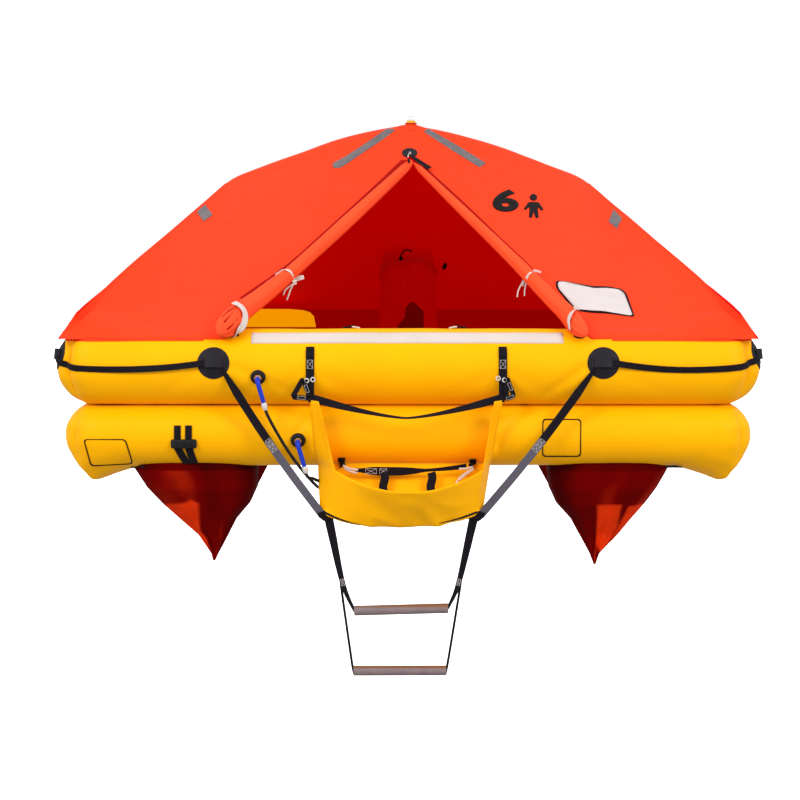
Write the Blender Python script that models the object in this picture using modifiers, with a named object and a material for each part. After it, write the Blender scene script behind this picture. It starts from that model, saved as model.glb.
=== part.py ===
"""A square six-person life raft, inflated, with its canopy up and its boarding pouch and ladder hung out.

Metres, +Z up, entrance towards -Y, +X to the right of someone who faces the entrance.
Every height below is measured from the underside of the lower tube. One empty then lowers
the whole raft, so that Z is zero at the waterline.
"""

from math import cos, pi, radians, sin

import bmesh
import bpy
from mathutils import Matrix, Vector
from mathutils.bvhtree import BVHTree

GAP = 0.0004  # between pieces that touch
WATERLINE = 0.060

# The two buoyancy tubes, one on the other, mitred at four corners
HALF_X = 0.980
HALF_Y = 0.958
UPPER_RADIUS = 0.122
LOWER_RADIUS = 0.100
CONTACT = 0.94  # where the tubes press on each other, as a share of the radius
SEAM_Z = LOWER_RADIUS * (1 + CONTACT)
UPPER_Z = SEAM_Z + UPPER_RADIUS * CONTACT
TUBE_SIDES = 20
TUBE_BOTTOM = LOWER_RADIUS * (1 - cos(pi / TUBE_SIDES))  # the tube's foot, as its sides are flats
CREASE_REACH = 0.100  # the mitre pulls the tube in over this length
CREASE_WIDTH = 0.60
UPPER_TALL_REACH = 0.220  # and leaves it taller over this one
LOWER_TALL_REACH = 0.165
UPPER_TALL = 0.37
LOWER_TALL = 0.46
CORNER_STEPS = (0.0, 0.03, 0.065, 0.10, LOWER_TALL_REACH, UPPER_TALL_REACH)

FLOOR_LOW = 0.030

# The canopy hangs from one arch tube that crosses the raft at mid length
SKIN = 0.004
HEM_Z = 0.402
HEM_OUT = 0.079
HEM_CORNER_OUT = 0.101
HEM_LIFT = 0.0072
TUBE_CLEAR = 0.003
MITRE_CLEAR = 0.017  # the skin spans the tube's mitre ridge, a little farther off
MITRE_REACH = 0.110
ARCH_CLEAR = 0.005
RIDGE_FOOT = Vector((1.030, 1.010, 0.487))
SHOULDER = Vector((0.638, 0.0, 0.917))
APEX_Z = 1.119
ARCH_CREST = ((0.0, APEX_Z), (0.22, 1.075), (0.44, 1.000), (0.600, 0.940))
RIDGE_STEPS = (0.0, 0.03, 0.065, 0.10, 0.14, 0.18, 0.34, 0.60, 0.85)
PANEL_ROWS = (0.0, 0.022, 0.046, 0.072, 0.10, 0.14, 0.20, 0.50, 0.80, 0.90, 0.945, 0.975, 1.0)
ARCH_RADIUS = 0.075
ARCH_LINE = (
    (0.995, 0.347),
    (0.660, 0.755),
    (0.610, 0.812),
    (0.555, 0.856),
    (0.480, 0.892),
    (0.400, 0.924),
    (0.210, 0.989),
    (0.0, 1.032),
)

# The entrance, a triangle with its flaps rolled up along both edges
DOOR_APEX = (0.011, 1.000)
DOOR_BASE = ((-0.613, 0.360), (0.607, 0.360))
ROLL_CLEAR = 0.0009
ROLL_SIDES = 10
ROLL_LEFT = (
    (-0.020, -0.262, 0.012),
    (-0.259, -0.549, 0.020),
    (-0.4995, -0.850, 0.029),
    (-0.576, -0.940, 0.031),
)
ROLL_RIGHT = (
    (0.046, -0.244, 0.012),
    (0.2954, -0.585, 0.018),
    (0.4465, -0.815, 0.026),
    (0.542, -0.948, 0.028),
)

# The sleeve of the rear lookout hangs inside
SLEEVE_TOP = (0.0, 0.66, 0.105, 0.055)
SLEEVE_LOW_Z = 0.300

LAMP_X = 0.013
LAMP_RADIUS = 0.016
LAMP_HEIGHT = 0.026

# Round patches that hold the webbing
PATCH_RADIUS = 0.050
PATCH_THICK = 0.0045
PATCH_BED = 0.002  # the patch starts this deep, and the tube's own shape then cuts it
BOSS_RADIUS = 0.017
BOSS_HEIGHT = 0.011
PATCH_SIDES = 12
FRONT_PATCH_X = 0.603
FRONT_PATCH_Z = 0.330
SIDE_PATCH_Z = 0.350
CORNER_PATCH = Vector((1.085, 0.972, SIDE_PATCH_Z))
CORNER_PATCH_TURN = radians(22)

LIFELINE_WIDTH = 0.020
LIFELINE_THICK = 0.0025
LIFELINE_LIFT = 0.0085
LIFELINE_SAG = 0.038
BRIDLE_WIDTH = 0.026
BRIDLE_END_X = (-0.2646, 0.2218)

# The boarding pouch hangs from two tabs on the upper tube
TAB_X = (-0.304, 0.292)
TAB_WIDTH = 0.030
TAB_ON_TUBE = (0.372, 0.345, 0.315)
TAB_LOW = 0.214
TAB_THICK = 0.005
TAB_FACE_Y = -1.088 - TAB_THICK / 2
GRAB_Z = 0.238
GRAB_SAG = 0.064
GRAB_FORWARD = 0.034
GRAB_STEPS = 9
POUCH_SKIN = 0.003
POUCH_COLUMNS = 8
POUCH_BACK = ((-0.283, 0.257), -1.0105, 0.0110, 0.0, 0.0)
POUCH_FOOT = ((-0.252, 0.206), -1.120, -0.1445, 0.045, 0.028)
POUCH_LIP = ((-0.226, 0.228), -1.160, 0.005, 0.120, 0.055)

# The boarding ladder: two rungs on webbing
LADDER_Y = -1.120
HINGE_Z = -0.1518
KNUCKLE_Z = -0.352
STRAP_THICK = 0.0025
RUNG_RADIUS = 0.0145
UPPER_RUNG = ((-0.168, -0.437), (0.123, -0.429))
LOWER_RUNG = ((-0.170, -0.625), (0.117, -0.624))
UPPER_STRAP_X = (-0.246, 0.201)
KNUCKLE_X = (-0.203, 0.155)
LADDER_STRAP_WIDTHS = [0.026, 0.024, 0.012, 0.010, 0.010]

# Inflation: two valves on the tubes, two hoses and the gas cylinder under the floor
VALVE_RADIUS = 0.023
VALVE_HEIGHT = 0.010
VALVE_STEM_RADIUS = 0.009
VALVE_STEM = 0.022
VALVES = {"upper": (-0.465, 0.280), "lower": (-0.3425, 0.0785)}
HOSE_RADIUS = 0.005
ELBOW_RADIUS = 0.0075
ELBOW_OUT = 0.016
CYLINDER_RADIUS = 0.052
CYLINDER_X = (-0.225, 0.205)
CYLINDER_Y = -0.795

# Ballast pockets, from the tube down to the tip: height, low and high X, low and high Y
POCKET_RINGS = (
    (TUBE_BOTTOM - GAP, 0.487, 0.800, 0.740, 1.000),
    (-0.075, 0.490, 0.806, 0.742, 0.992),
    (-0.130, 0.525, 0.766, 0.765, 0.965),
    (-0.180, 0.552, 0.718, 0.795, 0.930),
    (-0.235, 0.580, 0.655, 0.825, 0.895),
    (-0.295, 0.604, 0.617, 0.855, 0.867),
)

BUCKLE_X = (-0.735, -0.648)
BUCKLE_Z = (0.131, 0.011)

ORANGE = (0.86, 0.070, 0.018)
RED = (0.55, 0.010, 0.012)
YELLOW = (0.92, 0.47, 0.002)
BLACK = (0.012, 0.011, 0.014)


def clear_scene():
    for obj in list(bpy.data.objects):
        bpy.data.objects.remove(obj, do_unlink=True)


def new_collection(name):
    collection = bpy.data.collections.new(name)
    bpy.context.scene.collection.children.link(collection)
    return collection


def new_material(name, colour, roughness, metallic=0.0):
    material = bpy.data.materials.new(name)
    material.use_nodes = True
    shader = material.node_tree.nodes["Principled BSDF"]
    shader.inputs["Base Color"].default_value = (*colour, 1.0)
    shader.inputs["Roughness"].default_value = roughness
    shader.inputs["Metallic"].default_value = metallic
    return material


clear_scene()
RAFT = new_collection("life_raft")
CUTTERS = new_collection("cutters")
DATUM = bpy.data.objects.new("waterline_datum", None)
DATUM.location.z = -WATERLINE
RAFT.objects.link(DATUM)

TUBE_FABRIC = new_material("coated_tube_fabric", YELLOW, 0.45)
CANOPY_FABRIC = new_material("canopy_fabric", ORANGE, 0.55)
POCKET_FABRIC = new_material("pocket_fabric", RED, 0.60)
WEBBING = new_material("webbing", BLACK, 0.75)
RUBBER = new_material("moulded_rubber", (0.030, 0.024, 0.036), 0.60)
BRASS = new_material("valve_brass", (0.62, 0.40, 0.16), 0.35, 1.0)
WOOD = new_material("rung_tube", (0.36, 0.27, 0.24), 0.50)
STEEL = new_material("cylinder_paint", (0.30, 0.31, 0.32), 0.40)
ELBOW_PLASTIC = new_material("elbow_plastic", (0.012, 0.062, 0.42), 0.40)
LENS = new_material("lamp_lens", (0.85, 0.86, 0.84), 0.15)


def add_object(name, mesh, material, smooth=radians(35)):
    mesh.materials.clear()
    mesh.materials.append(material)
    mesh.shade_smooth()
    mesh.set_sharp_from_angle(angle=smooth)
    obj = bpy.data.objects.new(name, mesh)
    obj.parent = DATUM
    RAFT.objects.link(obj)
    return obj


def mesh_of(name, points, faces):
    mesh = bpy.data.meshes.new(name)
    mesh.from_pydata([tuple(p) for p in points], [], faces)
    return mesh


def finish_bmesh(name, bm):
    bmesh.ops.recalc_face_normals(bm, faces=bm.faces)
    mesh = bpy.data.meshes.new(name)
    bm.to_mesh(mesh)
    bm.free()
    return mesh


def move_origin(obj, point):
    """Puts the object's origin on a joint axis without moving its shape."""
    obj.data.transform(Matrix.Translation(-Vector(point)))
    obj.location = point


def loft(sections, closed=False):
    """Points and faces of a skin through sections of equal length, capped unless it closes on itself."""
    size = len(sections[0])
    points = [p for section in sections for p in section]
    faces = []
    spans = len(sections) if closed else len(sections) - 1
    for i in range(spans):
        low, high = i * size, (i + 1) % len(sections) * size
        for j in range(size):
            k = (j + 1) % size
            faces.append((low + j, low + k, high + k, high + j))
    if not closed:
        faces.append(tuple(reversed(range(size))))
        faces.append(tuple(range(len(points) - size, len(points))))
    return points, faces


def loft_mesh(name, sections):
    points, faces = loft(sections)
    bm = bmesh.new()
    mesh = mesh_of(name, points, faces)
    bm.from_mesh(mesh)
    bpy.data.meshes.remove(mesh)
    return finish_bmesh(name, bm)


def smooth_route(points, step):
    """Points about one step apart on a smooth curve through the given points."""
    ends = [points[0] * 2 - points[1], *points, points[-1] * 2 - points[-2]]
    route = []
    for a, b, c, d in zip(ends, ends[1:], ends[2:], ends[3:]):
        count = max(1, round((c - b).length / step))
        for i in range(count):
            t = i / count
            square, cube = 2 * a - 5 * b + 4 * c - d, 3 * b - a - 3 * c + d
            route.append(0.5 * (2 * b + (c - a) * t + square * t**2 + cube * t**3))
    route.append(points[-1].copy())
    return route


def curve_object(name, points, radius, material, resolution=2):
    curve = bpy.data.curves.new(name, "CURVE")
    curve.dimensions = "3D"
    curve.bevel_depth = radius
    curve.bevel_resolution = resolution
    curve.use_fill_caps = True
    spline = curve.splines.new("POLY")
    spline.points.add(len(points) - 1)
    for target, point in zip(spline.points, points):
        target.co = (*point, 1.0)
    curve.materials.append(material)
    obj = bpy.data.objects.new(name, curve)
    obj.parent = DATUM
    RAFT.objects.link(obj)
    return obj


def curve_to_mesh(obj):
    """The same tube as a welded mesh, which a Boolean can cut."""
    name = obj.name
    mesh = bpy.data.meshes.new_from_object(obj.evaluated_get(bpy.context.evaluated_depsgraph_get()))
    bm = bmesh.new()
    bm.from_mesh(mesh)
    bmesh.ops.remove_doubles(bm, verts=bm.verts, dist=0.00005)
    bm.to_mesh(mesh)
    bm.free()
    material = obj.data.materials[0]
    bpy.data.objects.remove(obj, do_unlink=True)
    return add_object(name, mesh, material)


def subtract(obj, cutter):
    cutter.hide_render = True
    cutter.display_type = "WIRE"
    modifier = obj.modifiers.new("cut_" + cutter.name, "BOOLEAN")
    modifier.operation = "DIFFERENCE"
    modifier.object = cutter


def corner_share(distance, reach, power):
    return max(0.0, 1.0 - distance / reach) ** power


def tube_section(radius, seam_side, tall, tall_reach, distance, grow):
    """Offsets and heights round one tube, at a distance from the mitre."""
    width = 1.0 - (1.0 - CREASE_WIDTH) * corner_share(distance, CREASE_REACH, 2)
    height = 1.0 + tall * corner_share(distance, tall_reach, 1.5)
    section = []
    for i in range(TUBE_SIDES):
        angle = 2 * pi * (i + 0.5) / TUBE_SIDES
        across = radius * width * cos(angle)
        up = radius * sin(angle)
        if up * seam_side > 0:
            up = seam_side * min(abs(up), radius * CONTACT - GAP / 2)
        else:
            up *= height
        section.append((across * (1 + grow / radius), up * (1 + grow / radius)))
    return section


def tube_ring(radius, centre_z, seam_side, tall, tall_reach, grow=0.0):
    """The four mitred sides of one buoyancy tube, as points and faces."""
    sections = []
    for side in range(4):
        turn = Matrix.Rotation(side * pi / 2, 4, "Z")
        length, out = (HALF_X, HALF_Y) if side % 2 == 0 else (HALF_Y, HALF_X)
        stations = [(-1 + d / length, d) for d in CORNER_STEPS]
        stations.append((0.0, length))
        stations += [(1 - d / length, d) for d in reversed(CORNER_STEPS[1:])]
        for along, distance in stations:
            ring = []
            for across, up in tube_section(radius, seam_side, tall, tall_reach, distance, grow):
                flat = Vector((along * (length + across), -(out + across), centre_z + up))
                ring.append(turn @ flat)
            sections.append(ring)
    return loft(sections, closed=True)


def make_tube(name, *shape):
    points, faces = tube_ring(*shape)
    bm = bmesh.new()
    mesh = mesh_of(name, points, faces)
    bm.from_mesh(mesh)
    bpy.data.meshes.remove(mesh)
    bmesh.ops.triangulate(bm, faces=bm.faces, quad_method="FIXED")
    return add_object(name, finish_bmesh(name, bm), TUBE_FABRIC)


UPPER_SHAPE = (UPPER_RADIUS, UPPER_Z, -1, UPPER_TALL, UPPER_TALL_REACH)
LOWER_SHAPE = (LOWER_RADIUS, LOWER_RADIUS, 1, LOWER_TALL, LOWER_TALL_REACH)


def surface_of(obj):
    points = [v.co for v in obj.data.vertices]
    return BVHTree.FromPolygons(points, [tuple(p.vertices) for p in obj.data.polygons])


def kept_off(surface, point, distance):
    """The point, moved out to at least this distance from the surface."""
    place, normal, _, away = surface.find_nearest(point)
    if (point - place).dot(normal) < 0:
        return place + normal * distance
    if away < distance:
        return place + (normal if away < 1e-6 else (point - place).normalized()) * distance
    return point


def laid_on(surface, point, towards, lift):
    """Where a line from outside, through the point, meets the surface, and stands off it by the lift."""
    start = point - towards * 0.3
    place, _, _, _ = surface.ray_cast(start, towards)
    return (place if place else point) - towards * lift


def make_floor():
    bm = bmesh.new()
    bmesh.ops.create_cube(bm, size=1.0)
    inset = LOWER_RADIUS + GAP
    scale = (2 * (HALF_X - inset), 2 * (HALF_Y - inset), LOWER_RADIUS - FLOOR_LOW)
    bmesh.ops.scale(bm, vec=scale, verts=bm.verts)
    bmesh.ops.translate(bm, vec=(0, 0, (LOWER_RADIUS + FLOOR_LOW) / 2), verts=bm.verts)
    return add_object("floor", finish_bmesh("floor", bm), TUBE_FABRIC)


def canopy_top_line():
    """Half the top edge of the front panel, from the corner up the ridge and along the arch to the middle."""
    shoulder, foot = SHOULDER, RIDGE_FOOT
    line = [foot.lerp(shoulder, t) for t in RIDGE_STEPS]
    line.append(shoulder.copy())
    line += [Vector((x, 0.0, z)) for x, z in reversed(ARCH_CREST)]
    return line


def hem_off(tube, point, side):
    """A hem point at its own height, far enough out for the skin to lie on the tube."""
    inward = Vector((-1, 0, 0)) if side else Vector((0, -1, 0))
    seat = laid_on(tube, point, inward, HEM_LIFT)
    return seat if seat.dot(inward) < point.dot(inward) else point


def panel(bm, hem, top, tube, arch):
    """One ruled panel between its hem and its top edge, kept off the tube and drawn over the arch."""
    rows = []
    rows.append([bm.verts.new(point) for point in hem])
    for share in PANEL_ROWS[1:]:
        row = []
        for low, high in zip(hem, top):
            point = low.lerp(high, share)
            over_mitre = (Vector((abs(point.x), abs(point.y))) - Vector((HALF_X, HALF_Y))).length
            clear = SKIN + TUBE_CLEAR + MITRE_CLEAR * corner_share(over_mitre, MITRE_REACH, 1)
            point = kept_off(tube, point, clear)
            row.append(bm.verts.new(kept_off(arch, point, SKIN + ARCH_CLEAR)))
        rows.append(row)
    for lower, upper in zip(rows, rows[1:]):
        for i in range(len(hem) - 1):
            bm.faces.new((lower[i], lower[i + 1], upper[i + 1], upper[i]))


def hem_point(x, y, side):
    """A point of the hem: side is 0 for the front or rear, 1 for the left or right."""
    corner_x, corner_y = HALF_X + HEM_CORNER_OUT, HALF_Y + HEM_CORNER_OUT
    if side == 0:
        near = max(0.0, (x - 0.85) / (corner_x - 0.85))
        out = HALF_Y + HEM_OUT + (HEM_CORNER_OUT - HEM_OUT) * near
        return Vector((x, out, HEM_Z))
    near = max(0.0, (y - 0.85) / (corner_y - 0.85))
    out = HALF_X + HEM_OUT + (HEM_CORNER_OUT - HEM_OUT) * near
    return Vector((out, y, HEM_Z))


def make_canopy(tube, arch, tube_shape):
    top = canopy_top_line()
    reach_x = (HALF_X + HEM_CORNER_OUT) / RIDGE_FOOT.x
    reach_y = (HALF_Y + HEM_CORNER_OUT) / RIDGE_FOOT.y
    front_hem = [hem_off(tube, hem_point(p.x * reach_x, 0.0, 0), 0) for p in top]
    side_top = top[: len(RIDGE_STEPS) + 1]
    side_hem = [hem_off(tube, hem_point(0.0, p.y * reach_y, 1), 1) for p in side_top]
    bm = bmesh.new()
    for sx in (-1, 1):
        for sy in (-1, 1):
            flip = Matrix.Diagonal((sx, sy, 1.0))
            panel(bm, [flip @ p for p in front_hem], [flip @ p for p in top], tube, arch)
            panel(bm, [flip @ p for p in side_hem], [flip @ p for p in side_top], tube, arch)
    bmesh.ops.remove_doubles(bm, verts=bm.verts, dist=0.00005)
    bmesh.ops.triangulate(bm, faces=bm.faces)
    bmesh.ops.recalc_face_normals(bm, faces=bm.faces)
    if sum(f.normal.z for f in bm.faces) < 0:
        bmesh.ops.reverse_faces(bm, faces=bm.faces)
    mesh = bpy.data.meshes.new("canopy")
    bm.to_mesh(mesh)
    bm.free()
    canopy = add_object("canopy", mesh, CANOPY_FABRIC)
    skin = canopy.modifiers.new("skin", "SOLIDIFY")
    skin.thickness = SKIN
    skin.offset = -1
    subtract(canopy, door_cutter())
    subtract(canopy, tube_shape)
    return canopy


def door_cutter():
    """A triangular prism that runs in from the front as far as the arch."""
    outline = [DOOR_BASE[0], DOOR_BASE[1], DOOR_APEX]
    sections = [[Vector((x, y, z)) for x, z in outline] for y in (-1.40, -0.05)]
    obj = add_object("door_cutter", loft_mesh("door_cutter", sections), CANOPY_FABRIC)
    RAFT.objects.unlink(obj)
    CUTTERS.objects.link(obj)
    return obj


def tube_cutter():
    """The upper tube, a touch larger, which seats the canopy and the arch on it."""
    obj = make_tube("tube_cutter", *UPPER_SHAPE, GAP)
    RAFT.objects.unlink(obj)
    CUTTERS.objects.link(obj)
    return obj


def make_arch(tube_shape):
    left = [Vector((-x, 0.0, z)) for x, z in ARCH_LINE]
    right = [Vector((x, 0.0, z)) for x, z in reversed(ARCH_LINE[:-1])]
    arch = curve_to_mesh(curve_object("arch_tube", left + right, ARCH_RADIUS, CANOPY_FABRIC, 3))
    surface = surface_of(arch)
    subtract(arch, tube_shape)
    return surface


def make_roll(name, route, canopy_surface):
    """A rolled-up flap: a tapering tube that lies on the canopy along the entrance's edge."""
    knots = [Vector(p) for p in route]
    centres = []
    for station in smooth_route(knots, 0.060):
        above = Vector((station.x, station.y, 2.0))
        rest = station.z * cos(pi / ROLL_SIDES) + ROLL_CLEAR
        place, _, _, _ = canopy_surface.ray_cast(above, Vector((0, 0, -1)))
        _, normal, _, _ = canopy_surface.find_nearest(place)
        centre = place + normal * rest
        _, normal, _, distance = canopy_surface.find_nearest(centre)
        centres.append((centre + normal * max(0.0, rest - distance), station.z))
    sections = []
    for i, (centre, radius) in enumerate(centres):
        before, after = centres[max(i - 1, 0)][0], centres[min(i + 1, len(centres) - 1)][0]
        along = (after - before).normalized()
        side = along.cross(Vector((0, 0, 1))).normalized()
        up = side.cross(along)
        angles = [2 * pi * (k + 0.5) / ROLL_SIDES for k in range(ROLL_SIDES)]
        ring = [centre + radius * (side * cos(a) + up * sin(a)) for a in angles]
        sections.append([kept_off(canopy_surface, p, ROLL_CLEAR) for p in ring])
    return add_object(name, loft_mesh(name, sections), CANOPY_FABRIC)


def make_sleeve(canopy_surface):
    """The soft sleeve inside the rear of the canopy, flattened as it hangs."""
    x, y, half_x, half_y = SLEEVE_TOP
    top, waist, low = [], [], []
    for k in range(12):
        a = 2 * pi * k / 12
        px, py = x + half_x * cos(a), y + half_y * sin(a)
        place, _, _, _ = canopy_surface.ray_cast(Vector((px, py, 0.2)), Vector((0, 0, 1)))
        top.append(place - Vector((0, 0, 1.25 * SKIN + 0.0010)))
        waist.append(Vector((x + 0.85 * half_x * cos(a), y - 0.02 + 0.7 * half_y * sin(a), 0.52)))
        low.append(Vector((x + half_x * cos(a), y - 0.03 + 0.6 * half_y * sin(a), SLEEVE_LOW_Z)))
    return add_object("rear_sleeve", loft_mesh("rear_sleeve", [low, waist, top]), POCKET_FABRIC)


def turned(name, profile, material, steps, axis, place):
    """A turned piece from a profile of radius and height, set along an axis."""
    mesh = mesh_of(name, [(r, 0.0, z) for r, z in profile], [])
    bm = bmesh.new()
    verts = [bm.verts.new((r, 0.0, z)) for r, z in profile]
    for a, b in zip(verts, verts[1:]):
        bm.edges.new((a, b))
    bm.to_mesh(mesh)
    bm.free()
    obj = add_object(name, mesh, material)
    screw = obj.modifiers.new("turn", "SCREW")
    screw.steps = steps
    screw.render_steps = steps
    screw.use_merge_vertices = True
    screw.merge_threshold = 0.00005
    obj.rotation_mode = "QUATERNION"
    obj.rotation_quaternion = Vector((0, 0, 1)).rotation_difference(axis)
    obj.location = place
    return obj


def make_lamp():
    profile = [(0.0, LAMP_HEIGHT)]
    for k in range(1, 5):
        a = radians(90 - 22.5 * k)
        profile.append((0.010 * cos(a), 0.012 + (LAMP_HEIGHT - 0.012) * sin(a)))
    profile += [(LAMP_RADIUS, 0.010), (LAMP_RADIUS, 0.0), (0.0, 0.0)]
    place = Vector((LAMP_X, 0.0, APEX_Z + 0.0006))
    return turned("canopy_lamp", profile, LENS, 16, Vector((0, 0, 1)), place)


def patch(name, centre, normal, tube, tube_shape):
    """A round patch that follows the tube, with a flat boss in its middle."""
    normal = normal.normalized()
    side = normal.cross(Vector((0, 0, 1))).normalized()
    up = side.cross(normal)
    radii = (BOSS_RADIUS, PATCH_RADIUS)

    def laid(radius, k, lift):
        a = 2 * pi * k / PATCH_SIDES
        return laid_on(tube, centre + radius * (side * cos(a) + up * sin(a)), -normal, lift)

    sections = []
    for radius in radii:
        sections.append([laid(radius, k, -PATCH_BED) for k in range(PATCH_SIDES)])
    for radius in reversed(radii):
        sections.append([laid(radius, k, PATCH_THICK) for k in range(PATCH_SIDES)])
    crown = laid_on(tube, centre, -normal, BOSS_HEIGHT)
    ring = []
    for k in range(PATCH_SIDES):
        a = 2 * pi * k / PATCH_SIDES
        ring.append(crown + BOSS_RADIUS * (side * cos(a) + up * sin(a)))
    sections.append(ring)
    subtract(add_object(name, loft_mesh(name, sections), RUBBER), tube_shape)


def around_raft():
    """Each patch of the lifeline: name, place and outward direction, in order round the raft."""
    places = []
    corners = (("front_left", -1, -1), ("front_right", 1, -1), ("rear_right", 1, 1), ("rear_left", -1, 1))
    for name, sx, sy in corners:
        place = Vector((sx * CORNER_PATCH.x, sy * CORNER_PATCH.y, CORNER_PATCH.z))
        normal = Vector((sx * cos(CORNER_PATCH_TURN), sy * sin(CORNER_PATCH_TURN), 0.12))
        places.append(("patch_corner_" + name, place, normal))
    for name, sx in (("left", -1), ("right", 1)):
        place = Vector((sx * FRONT_PATCH_X, -(HALF_Y + UPPER_RADIUS), FRONT_PATCH_Z))
        places.append(("patch_front_" + name, place, Vector((0, -1, 0.17))))
        place = Vector((sx * FRONT_PATCH_X, HALF_Y + UPPER_RADIUS, SIDE_PATCH_Z))
        places.append(("patch_rear_" + name, place, Vector((0, 1, 0.25))))
    for name, sx in (("left", -1), ("right", 1)):
        for end, sy in (("fore", -1), ("aft", 1)):
            place = Vector((sx * (HALF_X + UPPER_RADIUS), sy * 0.36, SIDE_PATCH_Z))
            places.append((f"patch_{name}_{end}", place, Vector((sx, 0, 0.25))))
    return places


def ribbon(name, points, normals, width, material, thick=STRAP_THICK):
    """Flat webbing along points, its face turned to the normals; width is one value or one for each point."""
    widths = width if isinstance(width, (list, tuple)) else [width] * len(points)
    sections = []
    for i, point in enumerate(points):
        along = (points[min(i + 1, len(points) - 1)] - points[max(i - 1, 0)]).normalized()
        face = (normals[i] - along * normals[i].dot(along)).normalized()
        across = along.cross(face) * widths[i] / 2
        deep = face * thick / 2
        left, right = point - across, point + across
        sections.append([left - deep, right - deep, right + deep, left + deep])
    return add_object(name, loft_mesh(name, sections), material)


def hung_between(a, b, normal_a, normal_b, tube, sag, count):
    """A line that sags from one point on the tube to another, and lies on the tube's side."""
    points, normals = [], []
    for i in range(count + 1):
        t = i / count
        normal = normal_a.lerp(normal_b, t).normalized()
        flat = Vector((normal.x, normal.y, 0)).normalized()
        point = a.lerp(b, t) - Vector((0, 0, 4 * sag * t * (1 - t)))
        points.append(laid_on(tube, point, -flat, LIFELINE_LIFT))
        normals.append(flat + Vector((0, 0, (point.z - UPPER_Z) / UPPER_RADIUS)))
    return points, normals


def lifeline_end(patches, name, towards):
    """Where a lifeline leaves a patch, beside its boss, on the way towards another patch."""
    place, normal = patches[name]
    flat = Vector((normal.x, normal.y, 0)).normalized()
    along = towards - place
    along = (along - flat * along.dot(flat)).normalized()
    return place + along * (BOSS_RADIUS + 0.0008), flat


def make_lifeline(name, stops, patches, tube):
    """One length of lifeline between two neighbouring patches."""
    first, last = stops
    a, normal_a = lifeline_end(patches, first, patches[last][0])
    b, normal_b = lifeline_end(patches, last, patches[first][0])
    sag = LIFELINE_SAG * min(1.0, (b - a).length / 0.55)
    points, normals = hung_between(a, b, normal_a, normal_b, tube, sag, 10)
    return ribbon(name, points, normals, LIFELINE_WIDTH, WEBBING, LIFELINE_THICK)


def make_tab(name, x, tube, tube_shape):
    """The webbing tab on the upper tube that one side of the pouch hangs from."""
    face = Vector((0, -1, 0))
    points = [laid_on(tube, Vector((x, -1.1, z)), Vector((0, 1, 0)), 0.004) for z in TAB_ON_TUBE]
    points += [Vector((x, -1.086, 0.280)), Vector((x, -1.088, 0.245)), Vector((x, -1.088, TAB_LOW))]
    widths = [TAB_WIDTH] * 3 + [0.026, 0.024, 0.024]
    subtract(ribbon(name, points, [face] * len(points), widths, WEBBING, TAB_THICK), tube_shape)


def pouch_row(row):
    (left, right), y, z, forward, down = row
    points = []
    for i in range(POUCH_COLUMNS + 1):
        s = 2 * i / POUCH_COLUMNS - 1
        bow = 1 - s * s
        points.append(Vector((left + (right - left) * (s + 1) / 2, y - forward * bow, z - down * bow)))
    return points


def make_pouch():
    """An open scoop: its floor, from the lower tube, a front wall with a sagging lip, and two side gussets."""
    back, foot, lip = pouch_row(POUCH_BACK), pouch_row(POUCH_FOOT), pouch_row(POUCH_LIP)
    bm = bmesh.new()
    rows = [[bm.verts.new(p) for p in row] for row in (back, foot, lip)]
    for lower, upper in zip(rows, rows[1:]):
        for i in range(POUCH_COLUMNS):
            bm.faces.new((lower[i], upper[i], upper[i + 1], lower[i + 1]))
    for end, x_back, x_front, x_knee in ((0, -0.304, -0.277, -0.296), (-1, 0.292, 0.265, 0.270)):
        hang_back = bm.verts.new((x_back, -1.0905, 0.2135))
        hang_front = bm.verts.new((x_front, -1.112, 0.210))
        knee = bm.verts.new((x_knee, -1.0665, 0.100))
        shin = bm.verts.new(((x_knee + rows[0][end].co.x) / 2, -1.0525, 0.045))
        outer = [hang_back, knee, shin, rows[0][end], rows[1][end], rows[2][end], hang_front]
        for face in ((0, 1, 5, 6), (1, 2, 5), (2, 3, 4), (2, 4, 5)):
            ring = [outer[i] for i in face]
            bm.faces.new(ring if end == 0 else list(reversed(ring)))
    bmesh.ops.recalc_face_normals(bm, faces=bm.faces)
    front = max(bm.faces, key=lambda f: abs(f.normal.y) * (f.calc_center_median().y < -1.15))
    if front.normal.y > 0:
        bmesh.ops.reverse_faces(bm, faces=bm.faces)
    mesh = bpy.data.meshes.new("boarding_pouch")
    bm.to_mesh(mesh)
    bm.free()
    pouch = add_object("boarding_pouch", mesh, TUBE_FABRIC)
    skin = pouch.modifiers.new("skin", "SOLIDIFY")
    skin.thickness = POUCH_SKIN
    skin.offset = 1
    return pouch


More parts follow.
